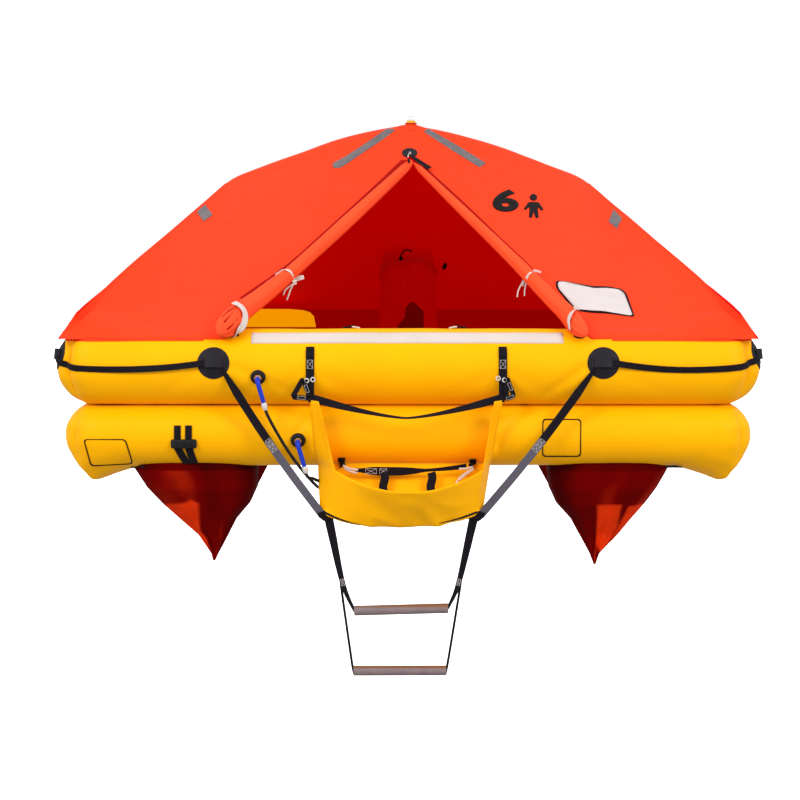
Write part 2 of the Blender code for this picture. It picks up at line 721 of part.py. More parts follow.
def make_pouch_straps(lower_tube):
    """The grab strap across the pouch's mouth, and the strap that ties its back to the lower tube."""
    face = Vector((0, -1, 0))
    on_tab = TAB_FACE_Y - STRAP_THICK / 2 - GAP
    left, right = TAB_X[0] + 0.0125, TAB_X[1] - 0.0125
    points, normals = [Vector((left - 0.018, on_tab, GRAB_Z))], [face]
    for i in range(GRAB_STEPS + 1):
        t = i / GRAB_STEPS
        bow = 4 * t * (1 - t)
        x = left + (right - left) * t
        points.append(Vector((x, on_tab - GRAB_FORWARD * bow**0.6, GRAB_Z - GRAB_SAG * bow)))
        normals.append(face.lerp(Vector((0, -0.45, 0.9)), bow).normalized())
    points.append(Vector((right + 0.018, on_tab, GRAB_Z)))
    normals.append(face)
    ribbon("pouch_grab_strap", points, normals, 0.023, WEBBING)
    ends = [laid_on(lower_tube, Vector((x, -1.1, 0.050)), Vector((0, 1, 0)), 0.0026) for x in (-0.206, 0.197)]
    points = [ends[0]]
    for i in range(9):
        t = i / 8
        points.append(Vector((-0.196 + 0.383 * t, -1.066, 0.004 - 0.016 * 4 * t * (1 - t))))
    points.append(ends[1])
    ribbon("pouch_back_strap", points, [face] * len(points), 0.016, WEBBING)


def make_bridle(name, sx, tube):
    """The strap from a front patch down to the pouch's bottom corner: flat on the patch, then taut."""
    start = Vector((sx * (FRONT_PATCH_X - 0.026), -1.0975, FRONT_PATCH_Z - 0.020))
    end = Vector((BRIDLE_END_X[sx > 0], -1.1225, -0.140))
    lift = PATCH_THICK + STRAP_THICK / 2 + 0.001
    points = [laid_on(tube, start.lerp(end, t), Vector((0, 1, 0)), lift) for t in (0.0, 0.04)]
    points += [points[1].lerp(end, i / 5) for i in range(1, 6)]
    return ribbon(name, points, [Vector((0, -1, 0))] * 7, BRIDLE_WIDTH, WEBBING)


def rung(name, ends, joint_z):
    points = [Vector((x, LADDER_Y, z)) for x, z in ends]
    obj = curve_to_mesh(curve_object(name, points, RUNG_RADIUS, WOOD, 3))
    move_origin(obj, (0.0, LADDER_Y, joint_z))
    return obj


def make_ladder():
    face = Vector((0, -1, 0))
    rung("ladder_rung_upper", UPPER_RUNG, HINGE_Z)
    rung("ladder_rung_lower", LOWER_RUNG, KNUCKLE_Z)
    for side, name in ((0, "left"), (1, "right")):
        out = (-1, 1)[side]
        rung_x, rung_z = UPPER_RUNG[side]
        taper_x = UPPER_STRAP_X[side] * 0.75 + KNUCKLE_X[side] * 0.25
        points = [
            Vector((UPPER_STRAP_X[side], LADDER_Y, HINGE_Z + 0.0019)),
            Vector((taper_x, LADDER_Y, HINGE_Z * 0.75 + KNUCKLE_Z * 0.25)),
            Vector((KNUCKLE_X[side], LADDER_Y, KNUCKLE_Z)),
            Vector((rung_x + out * 0.0062, LADDER_Y, rung_z + 0.006)),
            Vector((rung_x + out * 0.0055, LADDER_Y, rung_z - 0.004)),
        ]
        strap = ribbon("ladder_strap_" + name, points, [face] * 5, LADDER_STRAP_WIDTHS, WEBBING)
        move_origin(strap, (0.0, LADDER_Y, HINGE_Z))
        rung_x, rung_z = LOWER_RUNG[side]
        points = [
            Vector((KNUCKLE_X[side] + out * 0.0123, LADDER_Y, KNUCKLE_Z + 0.004)),
            Vector((KNUCKLE_X[side] + out * 0.0123, LADDER_Y, KNUCKLE_Z - 0.012)),
            Vector((rung_x + out * 0.0056, LADDER_Y, rung_z + 0.010)),
            Vector((rung_x + out * 0.0046, LADDER_Y, rung_z - 0.005)),
        ]
        strap = ribbon("ladder_tail_" + name, points, [face] * 4, 0.008, WEBBING, 0.002)
        move_origin(strap, (0.0, LADDER_Y, KNUCKLE_Z))


def make_valve(which, tube):
    x, z = VALVES[which]
    centre_z, radius = (UPPER_Z, UPPER_RADIUS) if which == "upper" else (LOWER_RADIUS, LOWER_RADIUS)
    axis = Vector((0, -1, (z - centre_z) / radius)).normalized()
    seat = laid_on(tube, Vector((x, -1.1, z)), -axis, 0.0012)
    profile = [
        (0.0, VALVE_STEM),
        (VALVE_STEM_RADIUS, VALVE_STEM),
        (VALVE_STEM_RADIUS, VALVE_HEIGHT),
        (VALVE_RADIUS - 0.004, VALVE_HEIGHT),
        (VALVE_RADIUS, 0.005),
        (VALVE_RADIUS, 0.0),
        (0.0, 0.0),
    ]
    turned("valve_" + which, profile, BRASS, 16, axis, seat)
    return seat + axis * VALVE_STEM, axis


def elbow(which, start, axis, end):
    """The moulded elbow that turns down from a valve's stem to its hose."""
    down = (end - start - axis * ELBOW_OUT).normalized()
    corner = start + axis * ELBOW_OUT
    bend = corner - axis * 0.003 + down * 0.003
    points = [start + axis * GAP, corner - axis * 0.010, bend, corner + down * 0.010]
    points += [corner.lerp(end, 0.6), end]
    curve_object("hose_elbow_" + which, points, ELBOW_RADIUS, ELBOW_PLASTIC)
    return end + down * GAP, down


def make_hoses(upper_tube, lower_tube):
    """Two hoses, each from its valve down behind the pouch to the head of the gas cylinder."""
    z = cylinder_z()
    routes = {
        "upper": (
            (-0.414, -1.106, 0.130),
            (-0.381, -1.098, 0.072),
            (-0.346, -1.088, 0.019),
            (-0.314, -1.070, -0.030),
            (-0.306, -1.030, -0.065),
            (-0.306, -0.950, -0.075),
            (-0.316, -0.870, -0.064),
            (-0.286, -0.812, z - 0.024),
        ),
        "lower": (
            (-0.298, -1.080, -0.030),
            (-0.290, -1.030, -0.045),
            (-0.290, -0.950, -0.040),
            (-0.300, -0.870, -0.025),
            (-0.280, -0.797, z + 0.017),
        ),
    }
    ends = {"upper": Vector((-0.445, -1.113, 0.205)), "lower": Vector((-0.321, -1.094, 0.006))}
    heads = {"upper": (CYLINDER_Y - 0.010, z - 0.020), "lower": (CYLINDER_Y + 0.006, z + 0.018)}
    for which, tube in (("upper", upper_tube), ("lower", lower_tube)):
        start, down = elbow(which, *make_valve(which, tube), ends[which])
        head = Vector((CYLINDER_X[0] - 0.0006, *heads[which]))
        route = [start, start + down * 0.030, *map(Vector, routes[which]), head - Vector((0.025, 0, 0)), head]
        curve_object("hose_" + which, smooth_route(route, 0.032), HOSE_RADIUS, RUBBER)


def cylinder_z():
    return FLOOR_LOW - CYLINDER_RADIUS - GAP


def make_cylinder():
    length = CYLINDER_X[1] - CYLINDER_X[0]
    profile = [(0.0, length)]
    for k in range(1, 5):
        a = radians(90 - 22.5 * k)
        profile.append((CYLINDER_RADIUS * cos(a), length - 0.045 + 0.045 * sin(a)))
    profile += [(CYLINDER_RADIUS, 0.030), (0.046, 0.008), (0.030, 0.0), (0.0, 0.0)]
    end = Vector((CYLINDER_X[0], CYLINDER_Y, cylinder_z()))
    turned("gas_cylinder", profile, STEEL, 18, Vector((1, 0, 0)), end)


def make_pockets():
    for fore_aft, sy in (("front", -1), ("rear", 1)):
        for name, sx in (("left", -1), ("right", 1)):
            sections = []
            for z, x_low, x_high, y_low, y_high in POCKET_RINGS:
                bx, by = 0.22 * (x_high - x_low), 0.22 * (y_high - y_low)
                ring = [
                    (x_low + bx, y_low),
                    (x_high - bx, y_low),
                    (x_high, y_low + by),
                    (x_high, y_high - by),
                    (x_high - bx, y_high),
                    (x_low + bx, y_high),
                    (x_low, y_high - by),
                    (x_low, y_low + by),
                ]
                sections.append([Vector((sx * x, sy * y, z)) for x, y in ring])
            node = f"ballast_pocket_{fore_aft}_{name}"
            add_object(node, loft_mesh(node, sections), POCKET_FABRIC)


def make_buckle(lower_tube):
    """A pair of short webbing straps with one side-release buckle, on the front of the lower tube."""
    points = []
    for i in range(6):
        z = BUCKLE_Z[0] + (BUCKLE_Z[1] - BUCKLE_Z[0]) * i / 5
        lift = 0.007 if i < 2 else 0.008
        points.append(laid_on(lower_tube, Vector((-0.6915, -1.1, z)), Vector((0, 1, 0)), lift))
    widths = [0.060, 0.060, 0.080, 0.080, 0.084, 0.084]
    return ribbon("painter_buckle", points, [Vector((0, -1, 0))] * 6, widths, WEBBING, 0.005)


def build():
    upper = make_tube("tube_upper", *UPPER_SHAPE)
    lower = make_tube("tube_lower", *LOWER_SHAPE)
    on_upper, on_lower = surface_of(upper), surface_of(lower)
    make_floor()
    tube_shape = tube_cutter()
    on_arch = make_arch(tube_shape)
    on_canopy = surface_of(make_canopy(on_upper, on_arch, tube_shape))
    make_roll("door_roll_left", ROLL_LEFT, on_canopy)
    make_roll("door_roll_right", ROLL_RIGHT, on_canopy)
    make_sleeve(on_canopy)
    make_lamp()
    patches = {}
    for name, place, normal in around_raft():
        patch(name, place, normal, on_upper, tube_shape)
        patches[name] = (place, normal.normalized())
    lengths = (
        ("lifeline_front_left", "patch_corner_front_left", "patch_front_left"),
        ("lifeline_front_right", "patch_front_right", "patch_corner_front_right"),
        ("lifeline_right_fore", "patch_corner_front_right", "patch_right_fore"),
        ("lifeline_right_mid", "patch_right_fore", "patch_right_aft"),
        ("lifeline_right_aft", "patch_right_aft", "patch_corner_rear_right"),
        ("lifeline_rear_right", "patch_corner_rear_right", "patch_rear_right"),
        ("lifeline_rear_mid", "patch_rear_right", "patch_rear_left"),
        ("lifeline_rear_left", "patch_rear_left", "patch_corner_rear_left"),
        ("lifeline_left_aft", "patch_corner_rear_left", "patch_left_aft"),
        ("lifeline_left_mid", "patch_left_aft", "patch_left_fore"),
        ("lifeline_left_fore", "patch_left_fore", "patch_corner_front_left"),
    )
    for name, *stops in lengths:
        make_lifeline(name, stops, patches, on_upper)
    make_tab("pouch_tab_left", TAB_X[0], on_upper, tube_shape)
    make_tab("pouch_tab_right", TAB_X[1], on_upper, tube_shape)
    make_pouch()
    make_pouch_straps(on_lower)
    make_bridle("bridle_left", -1, on_upper)
    make_bridle("bridle_right", 1, on_upper)
    make_ladder()
    make_cylinder()
    make_hoses(on_upper, on_lower)
    make_pockets()
    make_buckle(on_lower)


build()
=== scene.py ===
"""The dressed life raft: tubes, canopy, entrance, boarding pouch, ladder, webbing and ballast pockets.

Metres. Every height in this file is measured from the underside of the lower tube, as in the
raft's own drawing, and each mesh is lowered by the waterline's height when it is made.
"""

from math import atan2, cos, exp, hypot, pi, radians, sin, sqrt

import bmesh
import bpy
from mathutils import Matrix, Vector, noise
from mathutils.bvhtree import BVHTree


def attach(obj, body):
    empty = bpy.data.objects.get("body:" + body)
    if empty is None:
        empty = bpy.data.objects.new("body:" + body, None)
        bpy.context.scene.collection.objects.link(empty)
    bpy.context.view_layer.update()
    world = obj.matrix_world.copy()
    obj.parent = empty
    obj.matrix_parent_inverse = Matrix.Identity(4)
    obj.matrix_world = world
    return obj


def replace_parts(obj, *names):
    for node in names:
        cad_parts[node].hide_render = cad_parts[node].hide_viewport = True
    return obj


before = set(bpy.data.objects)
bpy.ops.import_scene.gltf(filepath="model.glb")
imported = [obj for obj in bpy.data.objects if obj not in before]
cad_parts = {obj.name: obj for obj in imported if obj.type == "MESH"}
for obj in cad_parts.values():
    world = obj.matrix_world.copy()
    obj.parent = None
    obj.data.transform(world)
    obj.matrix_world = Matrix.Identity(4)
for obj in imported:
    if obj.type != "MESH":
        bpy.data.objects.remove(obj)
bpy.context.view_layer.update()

WATERLINE = 0.06
ROOT = "raft"

RIGHT = Vector((1.0, 0.0, 0.0))
FRONT = Vector((0.0, -1.0, 0.0))
BACK = Vector((0.0, 1.0, 0.0))
UP = Vector((0.0, 0.0, 1.0))

# The camera stands level with the canopy and looks slightly down
EYE_WORLD = Vector((-0.026, -7.848, 0.652))
CAMERA_PITCH = radians(4.206)
LENS = 98.74
SENSOR = 36.0
FRAME_PX = 800
EYE = EYE_WORLD + Vector((0, 0, WATERLINE))

# The two buoyancy tubes, mitred at four corners
HALF_X = 0.98
HALF_Y = 0.958
UPPER_RADIUS = 0.122
LOWER_RADIUS = 0.1
CONTACT = 0.94
GAP = 0.0004
SEAM_Z = LOWER_RADIUS * (1 + CONTACT)
UPPER_Z = SEAM_Z + UPPER_RADIUS * CONTACT
CREASE_REACH = 0.1
CREASE_WIDTH = 0.6
UPPER_SHAPE = (UPPER_RADIUS, UPPER_Z, -1, 0.37, 0.22)
LOWER_SHAPE = (LOWER_RADIUS, LOWER_RADIUS, 1, 0.46, 0.165)
TUBE_AROUND = 60

# The canopy's ridges, arch and hem
SKIN = 0.0018
HEM_Z = 0.402
HEM_OUT = 0.079
HEM_CORNER_OUT = 0.101
# How far from the middle of a side its hem runs straight
HEM_STRAIGHT = 0.85
RIDGE_FOOT = Vector((1.03, 1.01, 0.487))
SHOULDER = Vector((0.638, 0.0, 0.917))
ARCH_CREST = ((0.6, 0.94), (0.44, 1.000), (0.22, 1.075), (0.0, 1.119))
ARCH_LINE = ((0.995, 0.347), (0.66, 0.755), (0.61, 0.812), (0.555, 0.856), (0.48, 0.892), (0.4, 0.924))
ARCH_LINE += ((0.21, 0.989), (0.0, 1.032))
ARCH_RADIUS = 0.075
DOOR_APEX = (0.011, 1.000)
DOOR_BASE = ((-0.613, 0.36), (0.607, 0.36))


def hex_colour(code):
    """An sRGB hex colour as linear light, opaque."""
    parts = [int(code[i : i + 2], 16) / 255 for i in (1, 3, 5)]
    return (*[c / 12.92 if c <= 0.04045 else ((c + 0.055) / 1.055) ** 2.4 for c in parts], 1.0)


def make_camera():
    data = bpy.data.cameras.new("camera")
    data.lens = LENS
    data.sensor_width = SENSOR
    camera = bpy.data.objects.new("camera", data)
    camera.location = EYE_WORLD
    camera.rotation_euler = (radians(90) - CAMERA_PITCH, 0, 0)
    bpy.context.scene.collection.objects.link(camera)
    bpy.context.scene.camera = camera


make_camera()


# Materials


def fill(tree, made, inputs):
    """Sets a node's inputs, each to a plain value or to another node's output."""
    for key, value in inputs.items():
        if isinstance(value, bpy.types.NodeSocket):
            tree.links.new(value, made.inputs[key])
        else:
            made.inputs[key].default_value = value


def node(tree, kind, inputs=(), **settings):
    """Adds one node with its settings and its links."""
    made = tree.nodes.new("ShaderNode" + kind)
    for name, value in settings.items():
        setattr(made, name, value)
    fill(tree, made, dict(inputs))
    return made


def new_material(name, **sockets):
    """A material whose constants sit on the shader's own sockets, and each point's place on its object."""
    material = bpy.data.materials.new(name)
    material.use_nodes = True
    tree = material.node_tree
    shader = tree.nodes["Principled BSDF"]
    fill(tree, shader, {key.replace("_", " "): value for key, value in sockets.items()})
    return material, tree, shader, node(tree, "TexCoord").outputs["Object"]


def blotches(tree, place, size, low, high):
    """Soft patches of about this size, as a factor between low and high."""
    spots = node(tree, "TexNoise", {"Vector": place, "Scale": 1 / size, "Detail": 3.0}).outputs[0]
    spread = {"Value": spots, "From Min": 0.3, "From Max": 0.7, "To Min": low, "To Max": high}
    return node(tree, "MapRange", spread).outputs["Result"]


def patchy(tree, place, size, most, first, second):
    """A second colour over the first, in soft patches of about this size and at most this share."""
    share = blotches(tree, place, size, 0.0, most)
    return node(tree, "Mix", {0: share, 6: first, 7: hex_colour(second)}, data_type="RGBA").outputs[2]


def creases(tree, place, size, detail, depth, strength=1.0, over=None, bend=0.0):
    """Uneven relief of about this size, over the finer relief of threads where there are any."""
    uneven = {"Vector": place, "Scale": 1 / size, "Detail": detail, "Distortion": bend}
    relief = {"Height": node(tree, "TexNoise", uneven).outputs[0], "Distance": depth, "Strength": strength}
    if over is not None:
        relief["Normal"] = over
    return node(tree, "Bump", relief).outputs["Normal"]


def crossed_threads(tree, place, period, depth, strength):
    """Relief of threads that cross at this spacing, on faces that look any way."""
    scaled = node(tree, "VectorMath", {0: place, "Scale": 2 * pi / period}, operation="SCALE").outputs[0]
    wavy = node(tree, "VectorMath", {0: scaled}, operation="SINE").outputs[0]
    height = node(tree, "VectorMath", {0: wavy, 1: (1.0, 1.0, 1.0)}, operation="DOT_PRODUCT").outputs["Value"]
    return node(tree, "Bump", {"Height": height, "Distance": depth, "Strength": strength}).outputs["Normal"]


def coated_cloth(name, colour, deep, thread, roughness, crease=0.001, patch=0.3, **sockets):
    """Woven cloth under a calendered coating: faint threads, small creases and slow changes of tone."""
    plain = {"IOR": 1.49, "Specular_IOR_Level": 0.06, "Sheen_Weight": 0.01, "Sheen_Roughness": 0.5}
    material, tree, shader, place = new_material(name, **{**plain, **sockets})
    tone = patchy(tree, place, patch, 0.55, hex_colour(colour), deep)
    threads = crossed_threads(tree, place, thread, 0.00006, 0.6)
    looks = {
        "Base Color": patchy(tree, place, 0.018, 0.1, tone, deep),
        "Roughness": blotches(tree, place, 0.045, roughness - 0.05, roughness + 0.07),
        "Normal": creases(tree, place, 0.085, 2.5, crease, over=threads, bend=0.6),
    }
    fill(tree, shader, looks)
    return material


def woven_webbing(name, colour, light, rib):
    """Flat woven tape: ribs across, a herringbone of two tones, and lighter patches."""
    sockets = {"Roughness": 0.85, "IOR": 1.5, "Specular_IOR_Level": 0.12, "Sheen_Weight": 0.04}
    material, tree, shader, place = new_material(name, Sheen_Roughness=0.4, **sockets)
    lay = node(tree, "Attribute", attribute_name="lay").outputs["Vector"]
    across = node(tree, "SeparateXYZ", {0: lay})
    folded = node(tree, "Math", {0: across.outputs["X"]}, operation="ABSOLUTE").outputs[0]
    slanted = node(tree, "Math", {0: folded, 1: across.outputs["Y"]}, operation="ADD").outputs[0]
    phase = node(tree, "Math", {0: slanted, 1: 2 * pi / rib}, operation="MULTIPLY").outputs[0]
    ribs = node(tree, "Math", {0: phase}, operation="SINE").outputs[0]
    spread = {"Value": ribs, "From Min": -1.0, "To Min": 0.0, "To Max": 0.3}
    tones = {0: node(tree, "MapRange", spread).outputs["Result"], 6: hex_colour(colour), 7: hex_colour(light)}
    base = node(tree, "Mix", tones, data_type="RGBA").outputs[2]
    looks = {
        "Base Color": patchy(tree, place, 0.03, 0.22, base, light),
        "Normal": node(tree, "Bump", {"Height": ribs, "Distance": 0.0003, "Strength": 0.8}).outputs["Normal"],
    }
    fill(tree, shader, looks)
    return material


def moulded(name, colour, pale, roughness, grain=0.003, depth=0.0002, **sockets):
    """Moulded rubber or plastic: a fine even grain, with paler bloom where it is handled."""
    material, tree, shader, place = new_material(name, **{"Specular_IOR_Level": 0.22, **sockets})
    looks = {
        "Base Color": patchy(tree, place, 0.02, 0.3, hex_colour(colour), pale),
        "Roughness": blotches(tree, place, 0.01, roughness - 0.06, roughness + 0.08),
        "Normal": creases(tree, place, grain, 2.0, depth, 0.5),
    }
    fill(tree, shader, looks)
    return material


def reflective_tape():
    """Glass-bead reflective tape: flat grey with a silver glint, fine cell lines and soft wrinkles."""
    material, tree, shader, place = new_material("glass_bead_reflective_tape", Metallic=0.35, IOR=1.5)
    cells = node(tree, "TexVoronoi", {"Vector": place, "Scale": 1 / 0.006}, feature="DISTANCE_TO_EDGE")
    line = node(tree, "MapRange", {"Value": cells.outputs["Distance"], "From Max": 0.12}).outputs["Result"]
    tones = {0: line, 6: hex_colour("#5E5557"), 7: hex_colour("#7C7376")}
    tone = node(tree, "Mix", tones, data_type="RGBA").outputs[2]
    looks = {
        "Base Color": patchy(tree, place, 0.03, 0.6, tone, "#544D50"),
        "Roughness": blotches(tree, place, 0.012, 0.3, 0.5),
        "Normal": creases(tree, place, 0.02, 3.0, 0.0015),
    }
    fill(tree, shader, looks)
    return material


def turned_brass():
    """Brass from the lathe, with fine streaks round it and dull spots of tarnish."""
    material, tree, shader, place = new_material("turned_brass", Metallic=1.0)
    looks = {
        "Base Color": patchy(tree, place, 0.008, 0.45, hex_colour("#C79A55"), "#7E5C2E"),
        "Roughness": blotches(tree, place, 0.004, 0.25, 0.44),
        "Normal": creases(tree, place, 0.0015, 1.0, 0.00005),
    }
    fill(tree, shader, looks)
    return material


def pocket_cloth_with_painted_light():
    """Thin proofed nylon, deep red, with painted light where light comes through one layer and painted shade
    in its folds and where it hangs in shade.
    """
    sockets = {"Specular_IOR_Level": 0.02, "IOR": 1.49, "Roughness": 0.7}
    material, tree, shader, place = new_material("proofed_pocket_nylon", **sockets)
    ramp = node(tree, "ValToRGB", {"Fac": node(tree, "Attribute", attribute_name="painted_light_and_shade").outputs["Fac"]})
    stops = ramp.color_ramp.elements
    # From painted light, where light comes through one layer, to the darkest painted shade
    stops[0].color = hex_colour("#E8360C")
    stops[1].color = hex_colour("#300000")
    stops.new(0.5).color = hex_colour("#6C0000")
    threads = crossed_threads(tree, place, 0.003, 0.00005, 0.5)
    looks = {
        "Base Color": patchy(tree, place, 0.05, 0.25, ramp.outputs["Color"], "#4C0000"),
        "Normal": creases(tree, place, 0.05, 3.0, 0.0012, over=threads),
    }
    fill(tree, shader, looks)
    return material


def pvc_tube_with_painted_highlight():
    """Grey PVC conduit, matt from its extrusion, with a painted tan highlight along its top."""
    material, tree, shader, place = new_material("grey_pvc_tube", IOR=1.53, Specular_IOR_Level=0.3)
    # Painted highlight: tan along the tube's top, where the mesh marks it
    painted_top_highlight = node(tree, "Attribute", attribute_name="painted_top_highlight").outputs["Fac"]
    grey = patchy(tree, place, 0.03, 1.0, hex_colour("#83716F"), "#75646A")
    tones = {0: painted_top_highlight, 6: grey, 7: hex_colour("#7A5338")}
    looks = {
        "Base Color": node(tree, "Mix", tones, data_type="RGBA").outputs[2],
        "Roughness": blotches(tree, place, 0.012, 0.42, 0.58),
        "Normal": creases(tree, place, 0.006, 2.0, 0.0002),
    }
    fill(tree, shader, looks)
    return material


def clear_lens():
    """Moulded polycarbonate, clear: bright rim, with faint moulding ripples."""
    sockets = {"IOR": 1.585, "Transmission_Weight": 0.85, "Base_Color": hex_colour("#E9ECEA")}
    material, tree, shader, place = new_material("clear_polycarbonate", **sockets)
    rough = blotches(tree, place, 0.006, 0.06, 0.18)
    fill(tree, shader, {"Roughness": rough, "Normal": creases(tree, place, 0.004, 1.0, 0.0004)})
    return material


# Painted glow, as emission: the light a red cloth lets through from outside, and the daylight from the
# entrance on the tube's inner face
GLOW = {"Emission_Color": hex_colour("#7E0000"), "Emission_Strength": 1.0}
GLOW_LOW = {"Emission_Color": hex_colour("#610000"), "Emission_Strength": 1.0}
DAYLIGHT = {"Emission_Color": hex_colour("#BC9300"), "Emission_Strength": 1.0}
# Polyurethane-coated nylon, calendered: bright satin yellow; threads drawn at 4 mm, since 1 mm can't show
TUBE_CLOTH = coated_cloth("polyurethane_coated_nylon", "#F6B000", "#F2A400", 0.004, 0.42, 0.0006, 0.5)
# The same cloth on the tube's far inner face, painted red with a red glow: painted shade and painted red
# light from the canopy
SHADED_TUBE_CLOTH = coated_cloth(
    "tube_nylon_in_red_light", "#A80800", "#960600", 0.004, 0.5, 0.0006, 0.5, **GLOW_LOW
)
# The same cloth with a painted glow of daylight, where light from the entrance reaches the tube's inner face
LIT_TUBE_CLOTH = coated_cloth(
    "tube_nylon_in_daylight", "#F6A000", "#F09000", 0.004, 0.45, 0.0006, 0.5, **DAYLIGHT
)
# The same cloth, thinner and unstretched, so its creases show
POUCH_CLOTH = coated_cloth("coated_pouch_nylon", "#FFB602", "#F6A400", 0.004, 0.5, 0.0016, 0.2)
# Polyurethane-coated polyester, woven and dyed rescue orange, with a soft matt face; threads at 3 mm
CANOPY_CLOTH = coated_cloth("coated_canopy_polyester", "#F03F1C", "#EB3918", 0.003, 0.66, 0.0014, 0.4)
# The same cloth on the rolled flaps, painted lighter because they face the light: painted light
LIT_FLAP_CLOTH = coated_cloth("rolled_canopy_polyester_painted_lighter", "#F5522B", "#F04824", 0.003, 0.66, 0.0012, 0.25)
# Its inner face, the bare red coating, with a painted glow as emission for the daylight that comes through
# the cloth
LINING_CLOTH = coated_cloth("canopy_lining_with_painted_glow", "#C80204", "#B00102", 0.003, 0.7, 0.0016, 0.4, **GLOW)
# The rear sleeve, the same cloth hanging double, with a weaker painted glow as emission, since less light
# comes through it
SLEEVE_CLOTH = coated_cloth(
    "sleeve_lining_with_painted_glow", "#C40204", "#A80102", 0.003, 0.7, 0.0016, 0.2, **GLOW_LOW
)
# Painted shade: a dark patch laid on the sleeve's front where its slit opens, for the inside that gets no
# light from behind
SLIT_SHADE_CLOTH = coated_cloth("slit_painted_shade_cloth", "#8C0000", "#700000", 0.003, 0.8, 0.001, 0.1)
# Deep red cloth: painted shade along a flap's fold and in the creases at a roll's foot, and the dark edge
# round the crest lamp
FOLD_SHADE_AND_EDGE_CLOTH = coated_cloth("canopy_polyester_fold_shade_and_edge", "#A80C06", "#8C0804", 0.003, 0.7, 0.001, 0.1)
POCKET_CLOTH = pocket_cloth_with_painted_light()
# White proofed tape at the sill, matt and lightly soiled
SILL_TAPE = coated_cloth("white_proofed_tape", "#CDBFB8", "#C2B3AC", 0.003, 0.6, 0.0006, 0.1)
# Printed ink on the canopy, dense and a little glossier than the cloth
PRINT_INK = moulded("screen_printed_ink", "#0C0405", "#160A0C", 0.55, 0.004, Specular_IOR_Level=0.1)
# Vinyl label, printed border only, with slight waves
LABEL_VINYL = coated_cloth("white_label_vinyl", "#CFC6C5", "#C4BAB9", 0.002, 0.4, 0.001, 0.06)
# Polyester webbing, herringbone, purple black; its 1 mm ribs are drawn at 5 mm so that they show
BLACK_WEBBING = woven_webbing("black_polyester_webbing", "#0D0A0F", "#221D27", 0.005)
# The same webbing painted grey on the bridles' lower lengths, where they turn to the light: painted highlight
LIT_GREY_WEBBING = woven_webbing("webbing_painted_grey_where_lit", "#4E4B55", "#6A6672", 0.005)
# Braided polyester cord and tape, white and black, matt with a rope's short ribs
WHITE_CORD = woven_webbing("white_braided_polyester", "#C9BFBA", "#DDD4CF", 0.004)
BLACK_CORD = woven_webbing("black_braided_cord", "#0B090C", "#1C1820", 0.004)
# Chloroprene rubber, moulded: dull purple black with grey bloom; the hoses are extruded and smoother
RUBBER = moulded("moulded_chloroprene_rubber", "#110E16", "#1C1823", 0.6, 0.004, IOR=1.52)
HOSE_RUBBER = moulded("extruded_hose_rubber", "#0B0A0D", "#17151B", 0.5, 0.003, IOR=1.52)
# Polypropylene, nylon and ABS, injection moulded: even colour with a soft gloss
BLUE_PLASTIC = moulded("blue_polypropylene", "#0C2FB0", "#1A42C4", 0.35, 0.005, 0.0001, IOR=1.49)
WHITE_PLASTIC = moulded("white_nylon_fitting", "#C9C4C0", "#BAB4AF", 0.4, 0.005, 0.0001, IOR=1.53)
YELLOW_PLASTIC = moulded("yellow_lamp_base_abs", "#E2A006", "#CC8A04", 0.4, 0.005, 0.0001, IOR=1.54)
RUNG_PLASTIC = pvc_tube_with_painted_highlight()
LENS_PLASTIC = clear_lens()
BRASS = turned_brass()
SILVER_TAPE = reflective_tape()
# Gas cylinder in grey stove enamel over steel, smooth with a soft shine
CYLINDER_PAINT = moulded(
    "grey_cylinder_enamel", "#5C6163", "#4A4F51", 0.38, 0.004, 0.0001, Specular_IOR_Level=0.5
)


# Shapes


def piece(name, points, faces, material, slot=None, body=ROOT, sharp=40, facing=None):
    """A mesh piece from raft heights. facing is a direction that an open sheet's first face looks to."""
    mesh = bpy.data.meshes.new(name)
    mesh.from_pydata([(p[0], p[1], p[2] - WATERLINE) for p in points], [], faces)
    bm = bmesh.new()
    bm.from_mesh(mesh)
    if facing is None:
        bmesh.ops.recalc_face_normals(bm, faces=bm.faces)
    elif sum(f.normal.dot(Vector(facing)) for f in bm.faces) < 0:
        bmesh.ops.reverse_faces(bm, faces=bm.faces)
    bm.to_mesh(mesh)
    bm.free()
    for one in material if isinstance(material, (list, tuple)) else [material]:
        mesh.materials.append(one)
    mesh.shade_smooth()
    mesh.set_sharp_from_angle(angle=radians(sharp))
    obj = bpy.data.objects.new(name, mesh)
    bpy.context.scene.collection.objects.link(obj)
    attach(obj, body)
    return obj


def loft(sections, closed=False, caps=True):
    """Points and faces of a skin through sections of equal length."""
    size = len(sections[0])
    points = [p for section in sections for p in section]
    faces = []
    for i in range(len(sections) if closed else len(sections) - 1):
        low, high = i * size, (i + 1) % len(sections) * size
        for j in range(size):
            k = (j + 1) % size
            faces.append((low + j, low + k, high + k, high + j))
    if caps and not closed:
        faces.append(tuple(reversed(range(size))))
        faces.append(tuple(range(len(points) - size, len(points))))
    return points, faces


def grid(rows):
    """Points and faces of an open sheet through rows of equal length."""
    size = len(rows[0])
    faces = []
    for i in range(len(rows) - 1):
        for j in range(size - 1):
            low, high = i * size + j, (i + 1) * size + j
            faces.append((low, low + 1, high + 1, high))
    return [p for row in rows for p in row], faces


def joined(*parts):
    """Several sets of points and faces as one."""
    points, faces = [], []
    for more_points, more_faces in parts:
        shift = len(points)
        points += more_points
        faces += [tuple(i + shift for i in face) for face in more_faces]
    return points, faces


